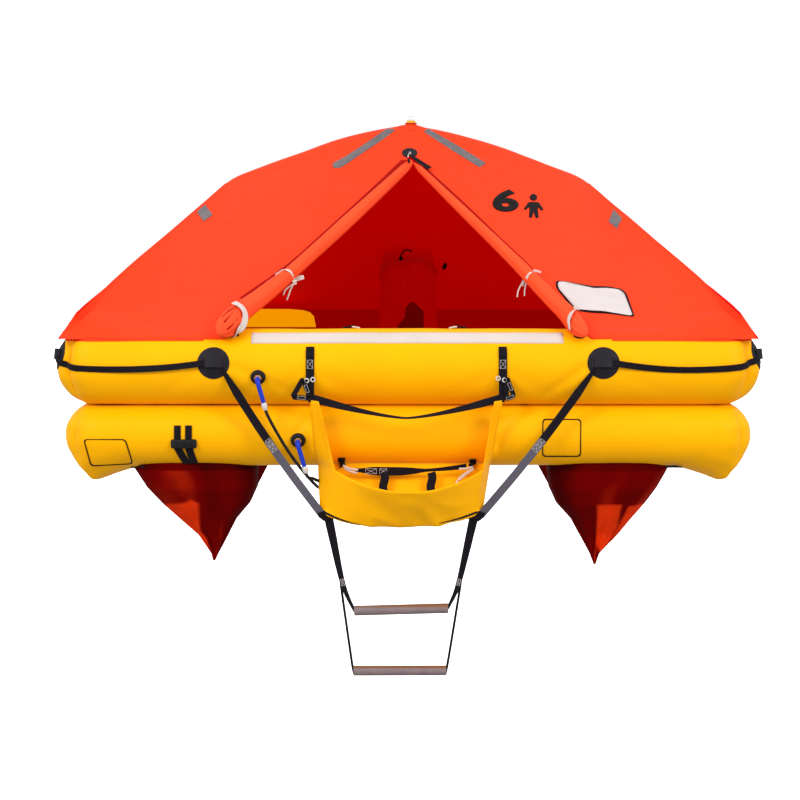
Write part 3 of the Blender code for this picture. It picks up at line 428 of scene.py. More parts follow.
def smooth_route(points, step):
    """Points about one step apart on a smooth curve through the given points."""
    ends = [points[0] * 2 - points[1], *points, points[-1] * 2 - points[-2]]
    route = []
    for a, b, c, d in zip(ends, ends[1:], ends[2:], ends[3:]):
        count = max(1, round((c - b).length / step))
        for i in range(count):
            t = i / count
            curve = 2 * b + (c - a) * t + (2 * a - 5 * b + 4 * c - d) * t**2
            route.append(0.5 * (curve + (3 * b - a - 3 * c + d) * t**3))
    route.append(points[-1].copy())
    return route


def length_of(points):
    return sum((b - a).length for a, b in zip(points, points[1:]))


def surface_of(points, faces, closed=True):
    """A surface to measure from; a closed one is turned to face out."""
    if closed:
        volume = sum(points[f[0]].cross(points[f[1]]).dot(points[f[2]]) for f in faces if len(f) < 5)
        if volume < 0:
            faces = [tuple(reversed(f)) for f in faces]
    return BVHTree.FromPolygons([tuple(p) for p in points], [tuple(f) for f in faces])


def cad_surface(*names):
    """The surface of some CAD nodes, in raft heights."""
    points, faces = [], []
    for name in names:
        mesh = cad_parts[name].data
        shift = len(points)
        points += [(v.co.x, v.co.y, v.co.z + WATERLINE) for v in mesh.vertices]
        faces += [tuple(i + shift for i in p.vertices) for p in mesh.polygons]
    return surface_of(points, faces, closed=False)


def laid_on(surface, point, towards, lift):
    """Where a line from outside, through the point, meets the surface, and stands off it by the lift."""
    place, _, _, _ = surface.ray_cast(point - towards * 0.3, towards)
    return (place if place else point) - towards * lift


# In front of both tubes, where a line that looks for their front starts
AHEAD_Y = -1.1


def on_front(surface, x, z, lift):
    """The place on a tube's front at this X and height, off it by the lift."""
    return laid_on(surface, Vector((x, AHEAD_Y, z)), BACK, lift)


def kept_off(surface, point, distance):
    """The point, moved out to at least this distance from the surface."""
    place, normal, _, away = surface.find_nearest(point)
    if (point - place).dot(normal) < 0:
        return place + normal * distance
    if away < distance:
        return place + (normal if away < 1e-6 else (point - place).normalized()) * distance
    return point


def sight(u, v):
    """The direction from the camera through a point of its 800 x 800 frame."""
    across = (u - FRAME_PX / 2) * SENSOR / FRAME_PX / LENS
    up = (FRAME_PX / 2 - v) * SENSOR / FRAME_PX / LENS
    return (Matrix.Rotation(radians(90) - CAMERA_PITCH, 3, "X") @ Vector((across, up, -1))).normalized()


def seen_on(surface, u, v, lift=0.0, depth=None):
    """The place on a surface that the camera sees at a point of its frame, and which way it faces there."""
    way = sight(u, v)
    place, normal, _, _ = surface.ray_cast(EYE, way)
    if place is None:
        place, normal = EYE + way * ((depth - EYE.y) / way.y), FRONT
    if normal.dot(way) > 0:
        normal = -normal
    return place + normal * lift, normal


def at_depth(u, v, y):
    """The point that the camera sees at a point of its frame, on the upright plane at this y."""
    way = sight(u, v)
    return EYE + way * ((y - EYE.y) / way.y)


def tube_section(radius, across_share, height_share, seam_side, angle):
    across = radius * across_share * cos(angle)
    up = radius * sin(angle)
    if up * seam_side > 0:
        return across, seam_side * min(abs(up), radius * CONTACT - GAP / 2)
    return across, up * height_share


def clamped(value):
    return min(1.0, max(0.0, value))


def at_height(z, rows):
    """The values at a height, between rows that each start with their own height, from the top down."""
    k = 0
    while k < len(rows) - 2 and z < rows[k + 1][0]:
        k += 1
    t = (rows[k][0] - z) / (rows[k][0] - rows[k + 1][0])
    return [a + (b - a) * t for a, b in zip(rows[k][1:], rows[k + 1][1:])]


def corner_share(distance, reach, power):
    """1 at a mitre, fading to 0 at this reach from it."""
    return max(0.0, 1.0 - distance / reach) ** power


def strip_section(width, thick):
    """A flat strip's rounded outline, as steps across and out."""
    edge = thick * 0.45
    half, deep = width / 2, thick / 2
    corners = []
    for sx, sy in ((-1, -1), (1, -1), (1, 1), (-1, 1)):
        first = (sx * (half - edge), sy * deep)
        second = (sx * half, sy * (deep - edge))
        corners += [second, first] if sx * sy > 0 else [first, second]
    return corners


def circle(middle, side, up, radius, count):
    """Points round a circle in the plane of two directions."""
    angles = [2 * pi * k / count for k in range(count)]
    return [middle + radius * (side * cos(a) + up * sin(a)) for a in angles]


def ribbon(name, points, normals, width, material=BLACK_WEBBING, thick=0.0026, slot="webbing", body=ROOT):
    """Flat webbing along points, its face turned to one normal or to each point's own."""
    widths = width if isinstance(width, (list, tuple)) else [width] * len(points)
    ways = [normals] * len(points) if isinstance(normals, Vector) else normals
    sections, lays, along_total = [], [], 0.0
    for i, point in enumerate(points):
        before, after = points[max(i - 1, 0)], points[min(i + 1, len(points) - 1)]
        along = (after - before).normalized()
        face = (ways[i] - along * ways[i].dot(along)).normalized()
        across = along.cross(face)
        outline = strip_section(widths[i], thick)
        sections.append([point + across * step + face * out for step, out in outline])
        lays += [(step, along_total, 0.0) for step, _ in outline]
        if i < len(points) - 1:
            along_total += (points[i + 1] - point).length
    obj = piece(name, *loft(sections), material, slot, body)
    attribute = obj.data.attributes.new("lay", "FLOAT_VECTOR", "POINT")
    attribute.data.foreach_set("vector", [c for lay in lays for c in lay])
    return obj


def round_cord(name, points, radius, material, resolution=4):
    """A round cord or hose: one open curve with a round section."""
    curve = bpy.data.curves.new(name, "CURVE")
    curve.dimensions = "3D"
    curve.bevel_depth = radius
    curve.bevel_resolution = resolution
    curve.use_fill_caps = True
    spline = curve.splines.new("POLY")
    spline.points.add(len(points) - 1)
    for target, point in zip(spline.points, points):
        target.co = (point.x, point.y, point.z - WATERLINE, 1.0)
    spline.use_smooth = True
    curve.materials.append(material)
    obj = bpy.data.objects.new(name, curve)
    bpy.context.scene.collection.objects.link(obj)
    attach(obj, ROOT)
    return obj


def tube_mesh(route, radius, around=24):
    """Points and faces of a round tube along a route."""
    sections = []
    count = len(route)
    side = None
    for i, point in enumerate(route):
        along = (route[min(i + 1, count - 1)] - route[max(i - 1, 0)]).normalized()
        if side is None:
            side = along.orthogonal().normalized()
        side = (side - along * side.dot(along)).normalized()
        r = radius(i / (count - 1)) if callable(radius) else radius
        sections.append(circle(point, side, along.cross(side), r, around))
    return loft(sections)


def turned(profile, steps, axis, place):
    """Points and faces of a turned piece from a profile of radius and height, closed at both ends."""
    spin = UP.rotation_difference(axis).to_matrix()
    sections = []
    for r, z in profile:
        ring = [Vector((r * cos(2 * pi * k / steps), r * sin(2 * pi * k / steps), z)) for k in range(steps)]
        sections.append([place + spin @ p for p in ring])
    return loft(sections)


# Cords first: two hoses and the lifeline's eleven flat lengths

UPPER_CAD = cad_surface("tube_upper")
HOSE_RADIUS = 0.005
CYLINDER_Y = -0.795
CYLINDER_X = (-0.225, 0.205)
CYLINDER_RADIUS = 0.052
CYLINDER_Z = 0.03 - CYLINDER_RADIUS - GAP
VALVES = {"upper": (-0.465, 0.28), "lower": (-0.3425, 0.0785)}
VALVE_STEM = 0.022
ELBOW_OUT = 0.016
ELBOW_ENDS = {"upper": Vector((-0.445, -1.113, 0.205)), "lower": Vector((-0.321, -1.094, 0.006))}
HOSE_ROUTES = {
    "upper": (
        (-0.414, -1.106, 0.13), (-0.381, -1.098, 0.072), (-0.346, -1.088, 0.019), (-0.308, -1.072, -0.03),
        (-0.282, -1.03, -0.062), (-0.266, -0.95, -0.075), (-0.268, -0.87, -0.066),
        (-0.262, -0.812, CYLINDER_Z - 0.024),
    ),
    "lower": (
        (-0.296, -1.076, -0.03), (-0.274, -1.03, -0.044), (-0.26, -0.95, -0.04),
        (-0.264, -0.87, -0.026), (-0.256, -0.797, CYLINDER_Z + 0.017),
    ),
}
HOSE_HEADS = {
    "upper": (CYLINDER_Y - 0.01, CYLINDER_Z - 0.02),
    "lower": (CYLINDER_Y + 0.006, CYLINDER_Z + 0.018),
}
# The collar on a hose's head: its radius at each of seven steps along it
COLLAR_STEP = 0.004
COLLAR_RADII = (0.006, 0.0088, 0.0092, 0.0092, 0.0086, 0.0068, 0.0056)
TUBE_CENTRES = {"upper": (UPPER_Z, UPPER_RADIUS), "lower": (LOWER_RADIUS, LOWER_RADIUS)}


def tube_way(which, z):
    """The way that the front of a tube faces at a height."""
    centre_z, radius = TUBE_CENTRES[which]
    return Vector((0, -1, (z - centre_z) / radius)).normalized()


def valve_place(which):
    """A valve's seat on its tube and the way it points."""
    x, z = VALVES[which]
    axis = tube_way(which, z)
    surface = UPPER_CAD if which == "upper" else cad_surface("tube_lower")
    return laid_on(surface, Vector((x, AHEAD_Y, z)), -axis, 0.0012), axis


def elbow_route(which):
    """The moulded elbow's line, from the valve's stem round and down to the hose, and the way it ends."""
    seat, axis = valve_place(which)
    start, end = seat + axis * VALVE_STEM, ELBOW_ENDS[which]
    corner = start + axis * ELBOW_OUT
    down = (end - start - axis * ELBOW_OUT).normalized()
    bend = [corner - axis * 0.01, corner - axis * 0.003 + down * 0.003, corner + down * 0.01]
    return [start + axis * GAP, *bend, corner.lerp(end, 0.6), end], down


def make_hose(which):
    route, down = elbow_route(which)
    start = route[-1] + down * GAP
    head = Vector((CYLINDER_X[0] - 0.0006, *HOSE_HEADS[which]))
    knots = [start, start + down * 0.03, *map(Vector, HOSE_ROUTES[which]), head - RIGHT * 0.025, head]
    points = smooth_route(knots, 0.012)
    hose = round_cord("dressed_hose_" + which, points, HOSE_RADIUS, HOSE_RUBBER, resolution=5)
    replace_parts(hose, "hose_" + which)
    steps = len(COLLAR_RADII)
    collar = tube_mesh(
        [start + down * (COLLAR_STEP * i - COLLAR_STEP) for i in range(steps)],
        lambda t: COLLAR_RADII[min(steps - 1, round(t * (steps - 1)))],
    )
    ring = piece("hose_collar_" + which, *collar, WHITE_PLASTIC, "hose_rubber")


make_hose("upper")
make_hose("lower")

BOSS_RADIUS = 0.017
FRONT_PATCH = (0.603, 0.33)
SIDE_PATCH_Z = 0.35
SIDE_PATCH_Y = 0.36
CORNER_PATCH = Vector((1.085, 0.972, SIDE_PATCH_Z))
CORNER_PATCH_TURN = radians(22)
CORNERS = {"front_left": (-1, -1), "front_right": (1, -1), "rear_left": (-1, 1), "rear_right": (1, 1)}
LIFELINE_LIFT = 0.0085
LIFELINE_SAG = 0.038
LIFELINE_WIDTH = 0.02
LIFELINES = (
    ("front_left", "corner_front_left", "front_left"),
    ("front_right", "front_right", "corner_front_right"),
    ("right_fore", "corner_front_right", "right_fore"),
    ("right_mid", "right_fore", "right_aft"),
    ("right_aft", "right_aft", "corner_rear_right"),
    ("rear_right", "corner_rear_right", "rear_right"),
    ("rear_mid", "rear_right", "rear_left"),
    ("rear_left", "rear_left", "corner_rear_left"),
    ("left_aft", "corner_rear_left", "left_aft"),
    ("left_mid", "left_aft", "left_fore"),
    ("left_fore", "left_fore", "corner_front_left"),
)


def around_raft():
    """Each patch of the lifeline: its place and outward direction, by name."""
    places = {}
    for name, (sx, sy) in CORNERS.items():
        place = Vector((sx * CORNER_PATCH.x, sy * CORNER_PATCH.y, CORNER_PATCH.z))
        normal = Vector((sx * cos(CORNER_PATCH_TURN), sy * sin(CORNER_PATCH_TURN), 0.12))
        places["corner_" + name] = (place, normal.normalized())
    for name, sx in (("left", -1), ("right", 1)):
        place = Vector((sx * FRONT_PATCH[0], -(HALF_Y + UPPER_RADIUS), FRONT_PATCH[1]))
        places["front_" + name] = (place, Vector((0, -1, 0.17)).normalized())
        place = Vector((sx * FRONT_PATCH[0], HALF_Y + UPPER_RADIUS, SIDE_PATCH_Z))
        places["rear_" + name] = (place, Vector((0, 1, 0.25)).normalized())
        for end, sy in (("fore", -1), ("aft", 1)):
            place = Vector((sx * (HALF_X + UPPER_RADIUS), sy * SIDE_PATCH_Y, SIDE_PATCH_Z))
            places[f"{name}_{end}"] = (place, Vector((sx, 0, 0.25)).normalized())
    return places


PATCHES = around_raft()


def flat_way(normal):
    return Vector((normal.x, normal.y, 0)).normalized()


def lifeline_end(first, last):
    """Where a lifeline leaves a patch, beside its boss, on the way to the next patch."""
    place, normal = PATCHES[first]
    flat = flat_way(normal)
    along = PATCHES[last][0] - place
    return place + (along - flat * along.dot(flat)).normalized() * (BOSS_RADIUS + 0.0008), flat


def sag_share(t, lean):
    """A hanging line's sag from 0 to 1, deepest a little to one side."""
    return 4 * (t**lean) * (1 - t**lean)


def make_lifeline(name, first, last):
    a, normal_a = lifeline_end(first, last)
    b, normal_b = lifeline_end(last, first)
    sag = LIFELINE_SAG * min(1.0, (b - a).length / 0.55)
    lean = {"front_left": 0.72, "front_right": 1.12}.get(name, 1.0 + 0.15 * sin(7 * a.x + 3 * b.y))
    points, normals = [], []
    count = 36
    for i in range(count + 1):
        t = i / count
        flat = flat_way(normal_a.lerp(normal_b, t))
        point = a.lerp(b, t) - Vector((0, 0, sag * sag_share(t, lean)))
        points.append(laid_on(UPPER_CAD, point, -flat, LIFELINE_LIFT))
        twist = 0.25 * sin(pi * t) * sin(5 * t + 9 * a.y)
        normals.append(flat + Vector((0, 0, (point.z - UPPER_Z) / UPPER_RADIUS + twist)))
    line = ribbon("dressed_lifeline_" + name, points, normals, LIFELINE_WIDTH)
    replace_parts(line, "lifeline_" + name)


for lifeline in LIFELINES:
    make_lifeline(*lifeline)


# The buoyancy tubes

# At a mitre the cloth puckers, as deep and as far from it as this, under a tape of this width and height
PUCKER = 0.0045
PUCKER_REACH = 0.15
MITRE_TAPE = (0.024, 0.001)
# The slow waves of the whole tube's cloth: how many to a metre, and how high
TUBE_WAVES = ((4.5, 0.0022), (13.0, 0.0008))

# Soft folds that the straps draw in the front of the tubes: from and to in X and height, depth, half width
DENTS = (
    ((-0.64, 0.315), (-0.76, 0.235), 0.0035, 0.02),
    ((-0.54, 0.318), (-0.366, 0.238), 0.007, 0.013),
    ((-0.545, 0.27), (-0.46, 0.19), 0.003, 0.015),
    ((-0.33, 0.3), (-0.42, 0.23), 0.0035, 0.018),
    ((-0.28, 0.29), (-0.16, 0.24), 0.004, 0.02),
    ((0.265, 0.29), (0.15, 0.24), 0.004, 0.02),
    ((0.32, 0.3), (0.42, 0.24), 0.0035, 0.018),
    ((0.545, 0.316), (0.425, 0.228), 0.0085, 0.013),
    ((0.64, 0.315), (0.77, 0.245), 0.0035, 0.02),
    ((-0.46, 0.15), (-0.3, 0.06), 0.004, 0.022),
    ((-0.354, 0.11), (-0.3, 0.176), 0.008, 0.014),
    ((0.268, 0.068), (0.36, 0.18), 0.009, 0.013),
)


def near_line(x, z, start, end):
    """How far a point is from a line, and how far along the line it is."""
    dx, dz = end[0] - start[0], end[1] - start[1]
    t = clamped(((x - start[0]) * dx + (z - start[1]) * dz) / (dx * dx + dz * dz))
    return hypot(x - start[0] - t * dx, z - start[1] - t * dz), t


def tube_relief(point, side, distance, angle):
    """How far the cloth stands out from the plain round tube: puckers and tape at a mitre, and soft dents."""
    pucker = 0.5 + 0.5 * sin(11 * angle + 4 * noise.noise(point * 3))
    out = -PUCKER * corner_share(distance, PUCKER_REACH, 1.6) * pucker * (0.4 + 0.6 * abs(cos(angle)))
    if distance < MITRE_TAPE[0]:
        out += MITRE_TAPE[1]
    (first, high), (second, low) = TUBE_WAVES
    out += high * noise.noise(point * first) + low * noise.noise(point * second)
    if side == 0:
        for start, end, depth, half in DENTS:
            away, t = near_line(point.x, point.z, start, end)
            if away < 3 * half:
                out -= depth * exp(-((away / half) ** 2)) * (1 - 0.6 * t)
    return out


def tube_stations(length):
    """Places along one side, from -1 to 1, closer together near its two mitres, and how far in each is."""
    close = 0.22
    near = [close * (i / 20) ** 1.25 for i in range(20)]
    half = near + [close + (length - close) * i / 84 for i in range(85)]
    return [(-1 + d / length, d) for d in half] + [(1 - d / length, d) for d in reversed(half[1:-1])]


def tube_shape(radius, centre_z, seam_side, tall, tall_reach):
    """The four mitred sides of one buoyancy tube, with the cloth's own relief."""
    sections = []
    for side in range(4):
        turn = Matrix.Rotation(side * pi / 2, 3, "Z")
        length, out = (HALF_X, HALF_Y) if side % 2 == 0 else (HALF_Y, HALF_X)
        for along, distance in tube_stations(length):
            width = 1.0 - (1.0 - CREASE_WIDTH) * corner_share(distance, CREASE_REACH, 2)
            height = 1.0 + tall * corner_share(distance, tall_reach, 1.5)
            ring = []
            for i in range(TUBE_AROUND):
                angle = 2 * pi * (i + 0.5) / TUBE_AROUND
                across, up = tube_section(radius, width, height, seam_side, angle)
                point = turn @ Vector((along * (length + across), -(out + across), centre_z + up))
                relief = tube_relief(point, side, distance, angle)
                if up * seam_side > 0.8 * radius:
                    relief = min(relief, 0.0)
                ring.append(point + turn @ Vector((0, -cos(angle), sin(angle))) * relief)
            sections.append(ring)
    return loft(sections, closed=True)


UPPER_TUBE = tube_shape(*UPPER_SHAPE)
LOWER_TUBE = tube_shape(*LOWER_SHAPE)
ON_UPPER = surface_of(*UPPER_TUBE)
ON_LOWER = surface_of(*LOWER_TUBE)
for tube_name, tube in (("upper", UPPER_TUBE), ("lower", LOWER_TUBE)):
    cloths = [TUBE_CLOTH, SHADED_TUBE_CLOTH]
    made = piece("inflated_tube_" + tube_name, *tube, cloths, "tube_fabric", sharp=60)
    # The upper tube's inner faces at the rear take the red copy of its cloth: painted shade and painted red
    # light
    for face in made.data.polygons:
        inward = face.normal.x * face.center.x + face.normal.y * face.center.y < 0
        face.material_index = int(tube_name == "upper" and inward and face.center.y > 0.3)
    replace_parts(made, "tube_" + tube_name)


# The arch tube and the canopy over it


def make_arch():
    left = [Vector((-x, 0.0, z)) for x, z in ARCH_LINE]
    right = [Vector((x, 0.0, z)) for x, z in reversed(ARCH_LINE[:-1])]
    feet = left[0].lerp(left[1], 0.5), right[-1].lerp(right[-2], 0.5)
    knots = [left[0], feet[0], *left[1:], *right[:-1], feet[1], right[-1]]
    shape = tube_mesh(smooth_route(knots, 0.025), ARCH_RADIUS - 0.001, 40)
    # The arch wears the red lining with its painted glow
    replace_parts(piece("inflated_arch", *shape, LINING_CLOTH, "canopy_fabric"), "arch_tube")
    return surface_of(*shape)


ON_ARCH = make_arch()


def top_line():
    """Half the front panel's top edge, from the corner up the ridge and along the arch to the middle."""
    ridge = [RIDGE_FOOT.lerp(SHOULDER, (i / 40) ** 0.9) for i in range(40)]
    crest = smooth_route([SHOULDER, *[Vector((x, 0.0, z)) for x, z in ARCH_CREST]], 0.019)
    return ridge, crest


def hem_point(x, y, side):
    """The canopy's hem at this distance along the front or a side, laid on the upper tube."""
    along, half, across = (y, HALF_Y, HALF_X) if side else (x, HALF_X, HALF_Y)
    near = max(0.0, (along - HEM_STRAIGHT) / (half + HEM_CORNER_OUT - HEM_STRAIGHT))
    out = across + HEM_OUT + (HEM_CORNER_OUT - HEM_OUT) * near
    inward = -RIGHT if side else FRONT
    point = Vector((out, y, HEM_Z)) if side else Vector((x, out, HEM_Z))
    seat = laid_on(UPPER_CAD, point, inward, 0.006)
    return seat if seat.dot(inward) < point.dot(inward) else point


CANOPY_ROWS = 64


def canopy_slack(point):
    """The cloth's slack: broad hollows between ridge and hem, and finer creases that run up and down it."""
    x, y, z = point
    free = clamped((z - 0.44) / 0.1) * clamped((1.12 - z) / 0.1)
    broad = noise.noise(Vector((x * 2.2, y * 2.2, z * 1.4)))
    fold = noise.noise(Vector((x * 7.0, y * 7.0, z * 1.8)) + Vector((3, 1, 7)))
    return free * (0.003 * broad + 0.0022 * fold)


def panel_rows(hem, top):
    """A ruled panel between its hem and its top edge, kept off the tube and drawn over the arch."""
    rows = []
    for i in range(CANOPY_ROWS + 1):
        share = (i / CANOPY_ROWS) ** 1.15
        row = []
        for low, high in zip(hem, top):
            point = low.lerp(high, share)
            if i:
                over_mitre = (Vector((abs(point.x), abs(point.y))) - Vector((HALF_X, HALF_Y))).length
                point = kept_off(ON_UPPER, point, 0.004 + 0.014 * corner_share(over_mitre, 0.11, 1))
                point = kept_off(ON_ARCH, point, 0.0055)
            row.append(point)
        rows.append(row)
    return rows


def canopy_points():
    ridge, crest = top_line()
    top = ridge + crest
    reach_x = (HALF_X + HEM_CORNER_OUT) / RIDGE_FOOT.x
    reach_y = (HALF_Y + HEM_CORNER_OUT) / RIDGE_FOOT.y
    front_hem = [hem_point(p.x * reach_x, 0.0, 0) for p in top]
    side_top = [*ridge, crest[0]]
    side_hem = [hem_point(0.0, p.y * reach_y, 1) for p in side_top]
    parts = []
    for sx in (-1, 1):
        for sy in (-1, 1):
            flip = Matrix.Diagonal((sx, sy, 1.0))
            for low, high in ((front_hem, top), (side_hem, side_top)):
                parts.append(grid(panel_rows([flip @ p for p in low], [flip @ p for p in high])))
    return joined(*parts)


def in_door(point):
    """Inside the entrance's triangle, in front of the arch."""
    if point.y > -0.05 or point.z > DOOR_APEX[1]:
        return False
    (apex_x, apex_z), ((left, base_z), (right, _)) = DOOR_APEX, DOOR_BASE
    left, right = at_height(point.z, ((apex_z, apex_x, apex_x), (base_z, left, right)))
    return left < point.x < right


def as_bmesh(points, faces, weld):
    """A mesh to work on, its doubled points welded and its faces turned one way."""
    mesh = bpy.data.meshes.new("to_work_on")
    mesh.from_pydata([tuple(p) for p in points], [], faces)
    bm = bmesh.new()
    bm.from_mesh(mesh)
    bpy.data.meshes.remove(mesh)
    bmesh.ops.remove_doubles(bm, verts=bm.verts, dist=weld)
    bmesh.ops.recalc_face_normals(bm, faces=bm.faces)
    return bm


def shape_of(bm):
    """The worked mesh as points and faces."""
    bm.verts.index_update()
    return [v.co.copy() for v in bm.verts], [tuple(v.index for v in f.verts) for f in bm.faces]


def canopy_sheet():
    """The canopy's cloth, smoothed, slack and cut open at the entrance, its area, and its surface uncut."""
    bm = as_bmesh(*canopy_points(), 0.0004)
    if sum(f.normal.z for f in bm.faces) < 0:
        bmesh.ops.reverse_faces(bm, faces=bm.faces)
    inner = [v for v in bm.verts if not v.is_boundary]
    for _ in range(2):
        bmesh.ops.smooth_vert(bm, verts=inner, factor=0.5, use_axis_x=True, use_axis_y=True, use_axis_z=True)
    bm.normal_update()
    moves = [(v, v.normal * canopy_slack(v.co)) for v in inner]
    for vert, move in moves:
        vert.co += move
    uncut = surface_of(*shape_of(bm), closed=False)
    apex = Vector((DOOR_APEX[0], 0, DOOR_APEX[1]))
    for x, z in DOOR_BASE:
        front = [f for f in bm.faces if f.calc_center_median().y < 0]
        near = {e for f in front for e in f.edges} | {v for f in front for v in f.verts} | set(front)
        across = Vector((z - DOOR_APEX[1], 0, DOOR_APEX[0] - x)).normalized()
        bmesh.ops.bisect_plane(bm, geom=list(near), plane_co=apex, plane_no=across, dist=0.00001)
    doomed = [f for f in bm.faces if in_door(f.calc_center_median())]
    bmesh.ops.delete(bm, geom=doomed, context="FACES")
    points, faces = shape_of(bm)
    area = sum(f.calc_area() for f in bm.faces)
    bm.free()
    return points, faces, area, uncut


def thickened(obj, thickness, offset=-1.0, inner=0, rim=0):
    """Gives an open sheet its thickness; inner and rim shift to another of its materials."""
    solid = obj.modifiers.new("cloth_thickness", "SOLIDIFY")
    solid.thickness = thickness
    solid.offset = offset
    solid.material_offset = inner
    solid.material_offset_rim = rim
    return obj


CANOPY_POINTS, CANOPY_FACES, CANOPY_AREA, ON_UNCUT = canopy_sheet()
ON_CANOPY = surface_of(CANOPY_POINTS, CANOPY_FACES, closed=False)
# The cloth's inner face, from its thickness, wears the red lining with its painted glow
cloths = [CANOPY_CLOTH, LINING_CLOTH]
canopy = piece(
    "canopy_cloth", CANOPY_POINTS, CANOPY_FACES, cloths, "canopy_fabric", sharp=50, facing=(0, 0, 1)
)
thickened(canopy, SKIN, inner=1)
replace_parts(canopy, "canopy")


def ridge_seams():
    """The low felled seam along each ridge, from the corner to the arch's shoulder."""
    for fore, sy in (("front", -1), ("rear", 1)):
        for name, sx in (("left", -1), ("right", 1)):
            outward = Vector((sx * 0.45, sy * 0.45, 0.77))
            route = []
            for i in range(41):
                line = RIDGE_FOOT.lerp(SHOULDER, 0.03 + 0.95 * i / 40)
                start = Vector((sx * line.x, sy * line.y, line.z)) + outward * 0.2
                place, _, _, _ = ON_CANOPY.ray_cast(start, -outward)
                route.append(place or start - outward * 0.2)
            for _ in range(6):
                mids = [(a + c) / 4 + b / 2 for a, b, c in zip(route, route[1:], route[2:])]
                route = [route[0], *mids, route[-1]]
            seam = tube_mesh(smooth_route(route, 0.012), 0.0022, 10)
            piece(f"ridge_seam_{fore}_{name}", *seam, CANOPY_CLOTH, "canopy_fabric", sharp=60)


ridge_seams()


def hem_tape():
    """The doubled hem that is glued to the upper tube all round, broken at the entrance."""
    door = (-0.6 / HALF_X, 0.596 / HALF_X)
    for turn, name in enumerate(("front", "right", "rear", "left")):
        half, out = (HALF_Y, HALF_X) if turn % 2 else (HALF_X, HALF_Y)
        spin = Matrix.Rotation(turn * pi / 2, 3, "Z")
        inward = spin @ BACK
        spans = ((-1.0, door[0]), (door[1], 1.0)) if name == "front" else ((-1.0, 1.0),)
        for k, (low, high) in enumerate(spans):
            points, normals = [], []
            count = max(12, round((high - low) * half / 0.02))
            for i in range(count + 1):
                along = (low + (high - low) * i / count) * (half + 0.06)
                start = spin @ Vector((along, -(out + 0.3), HEM_Z - 0.002))
                place, normal, _, _ = ON_UPPER.ray_cast(start, inward)
                points.append(place + normal * 0.0016)
                normals.append(normal)
            ribbon(f"hem_tape_{name}_{k}", points, normals, 0.016, CANOPY_CLOTH, 0.0024, "canopy_fabric")


hem_tape()


# Flat things that are printed on, glued to or laid over what the camera sees


def fine_flat(curve, size, box=None):
    """A filled flat curve in faces small enough to follow a curved surface, fitted to a box if given."""
    obj = bpy.data.objects.new("outline", curve)
    bpy.context.scene.collection.objects.link(obj)
    mesh = bpy.data.meshes.new_from_object(obj.evaluated_get(bpy.context.evaluated_depsgraph_get()))
    bpy.data.objects.remove(obj, do_unlink=True)
    bm = bmesh.new()
    bm.from_mesh(mesh)
    bpy.data.meshes.remove(mesh)
    if box:
        low_x, high_x = min(v.co.x for v in bm.verts), max(v.co.x for v in bm.verts)
        low_y, high_y = min(v.co.y for v in bm.verts), max(v.co.y for v in bm.verts)
        for vert in bm.verts:
            vert.co.x = box[0] + (box[2] - box[0]) * (vert.co.x - low_x) / (high_x - low_x)
            vert.co.y = box[3] + (box[1] - box[3]) * (vert.co.y - low_y) / (high_y - low_y)
    bmesh.ops.remove_doubles(bm, verts=bm.verts, dist=0.001)
    for _ in range(4):
        long_edges = [e for e in bm.edges if e.calc_length() > size]
        if not long_edges:
            break
        bmesh.ops.subdivide_edges(bm, edges=long_edges, cuts=1)
        bmesh.ops.triangulate(bm, faces=bm.faces)
    points, faces = shape_of(bm)
    bm.free()
    return [p.xy for p in points], faces


def filled(loops, size):
    """A flat filled shape from closed outlines, holes among them."""
    curve = bpy.data.curves.new("outline", "CURVE")
    curve.dimensions = "2D"
    curve.fill_mode = "BOTH"
    for loop in loops:
        spline = curve.splines.new("POLY")
        spline.points.add(len(loop) - 1)
        for target, (u, v) in zip(spline.points, loop):
            target.co = (u, v, 0.0, 1.0)
        spline.use_cyclic_u = True
    return fine_flat(curve, size)


def laid_flat(name, shape, surface, material, lift=0.0009, thickness=0.0008, slot="canopy_fabric", mirror=()):
    """A thin patch of a flat shape in the frame's pixels, laid on what is seen there."""
    flat, faces = shape
    points = [seen_on(surface, u, v, lift, -1.0)[0] for u, v in flat]
    for suffix, sx, sy in (("", 1, 1), *mirror):
        copy = [Vector((p.x * sx, p.y * sy, p.z)) for p in points]
        obj = piece(name + suffix, copy, faces, material, slot, sharp=60, facing=(0, -sy, 0.4))
        thickened(obj, thickness, 1.0)


def decal(name, loops, surface, material, size=4.0, **options):
    laid_flat(name, filled(loops, size), surface, material, **options)


def rounded_loop(corners, radius, steps=4):
    """An outline with its corners rounded off."""
    loop = []
    count = len(corners)
    for i, (u, v) in enumerate(corners):
        before, after = corners[i - 1], corners[(i + 1) % count]
        entry = hypot(before[0] - u, before[1] - v)
        leave = hypot(after[0] - u, after[1] - v)
        r = min(radius, 0.45 * entry, 0.45 * leave)
        a = (u + (before[0] - u) * r / entry, v + (before[1] - v) * r / entry)
        b = (u + (after[0] - u) * r / leave, v + (after[1] - v) * r / leave)
        for k in range(steps + 1):
            t = k / steps
            w = (1 - t) ** 2, 2 * t * (1 - t), t * t
            loop.append((w[0] * a[0] + w[1] * u + w[2] * b[0], w[0] * a[1] + w[1] * v + w[2] * b[1]))
    return loop


def inset(loop, by):
    """The outline, drawn in towards its middle by about this much."""
    mid_u, mid_v = sum(p[0] for p in loop) / len(loop), sum(p[1] for p in loop) / len(loop)
    drawn = []
    for u, v in loop:
        share = by / hypot(u - mid_u, v - mid_v)
        drawn.append((u + (mid_u - u) * share, v + (mid_v - v) * share))
    return drawn


def arc(mid, radius_u, radius_v, start, end, steps):
    angles = [radians(start + (end - start) * i / steps) for i in range(steps + 1)]
    return [(mid[0] + radius_u * cos(a), mid[1] - radius_v * sin(a)) for a in angles]


# What the front shows is repeated on the rear panel
REAR = (("_rear", 1, -1),)


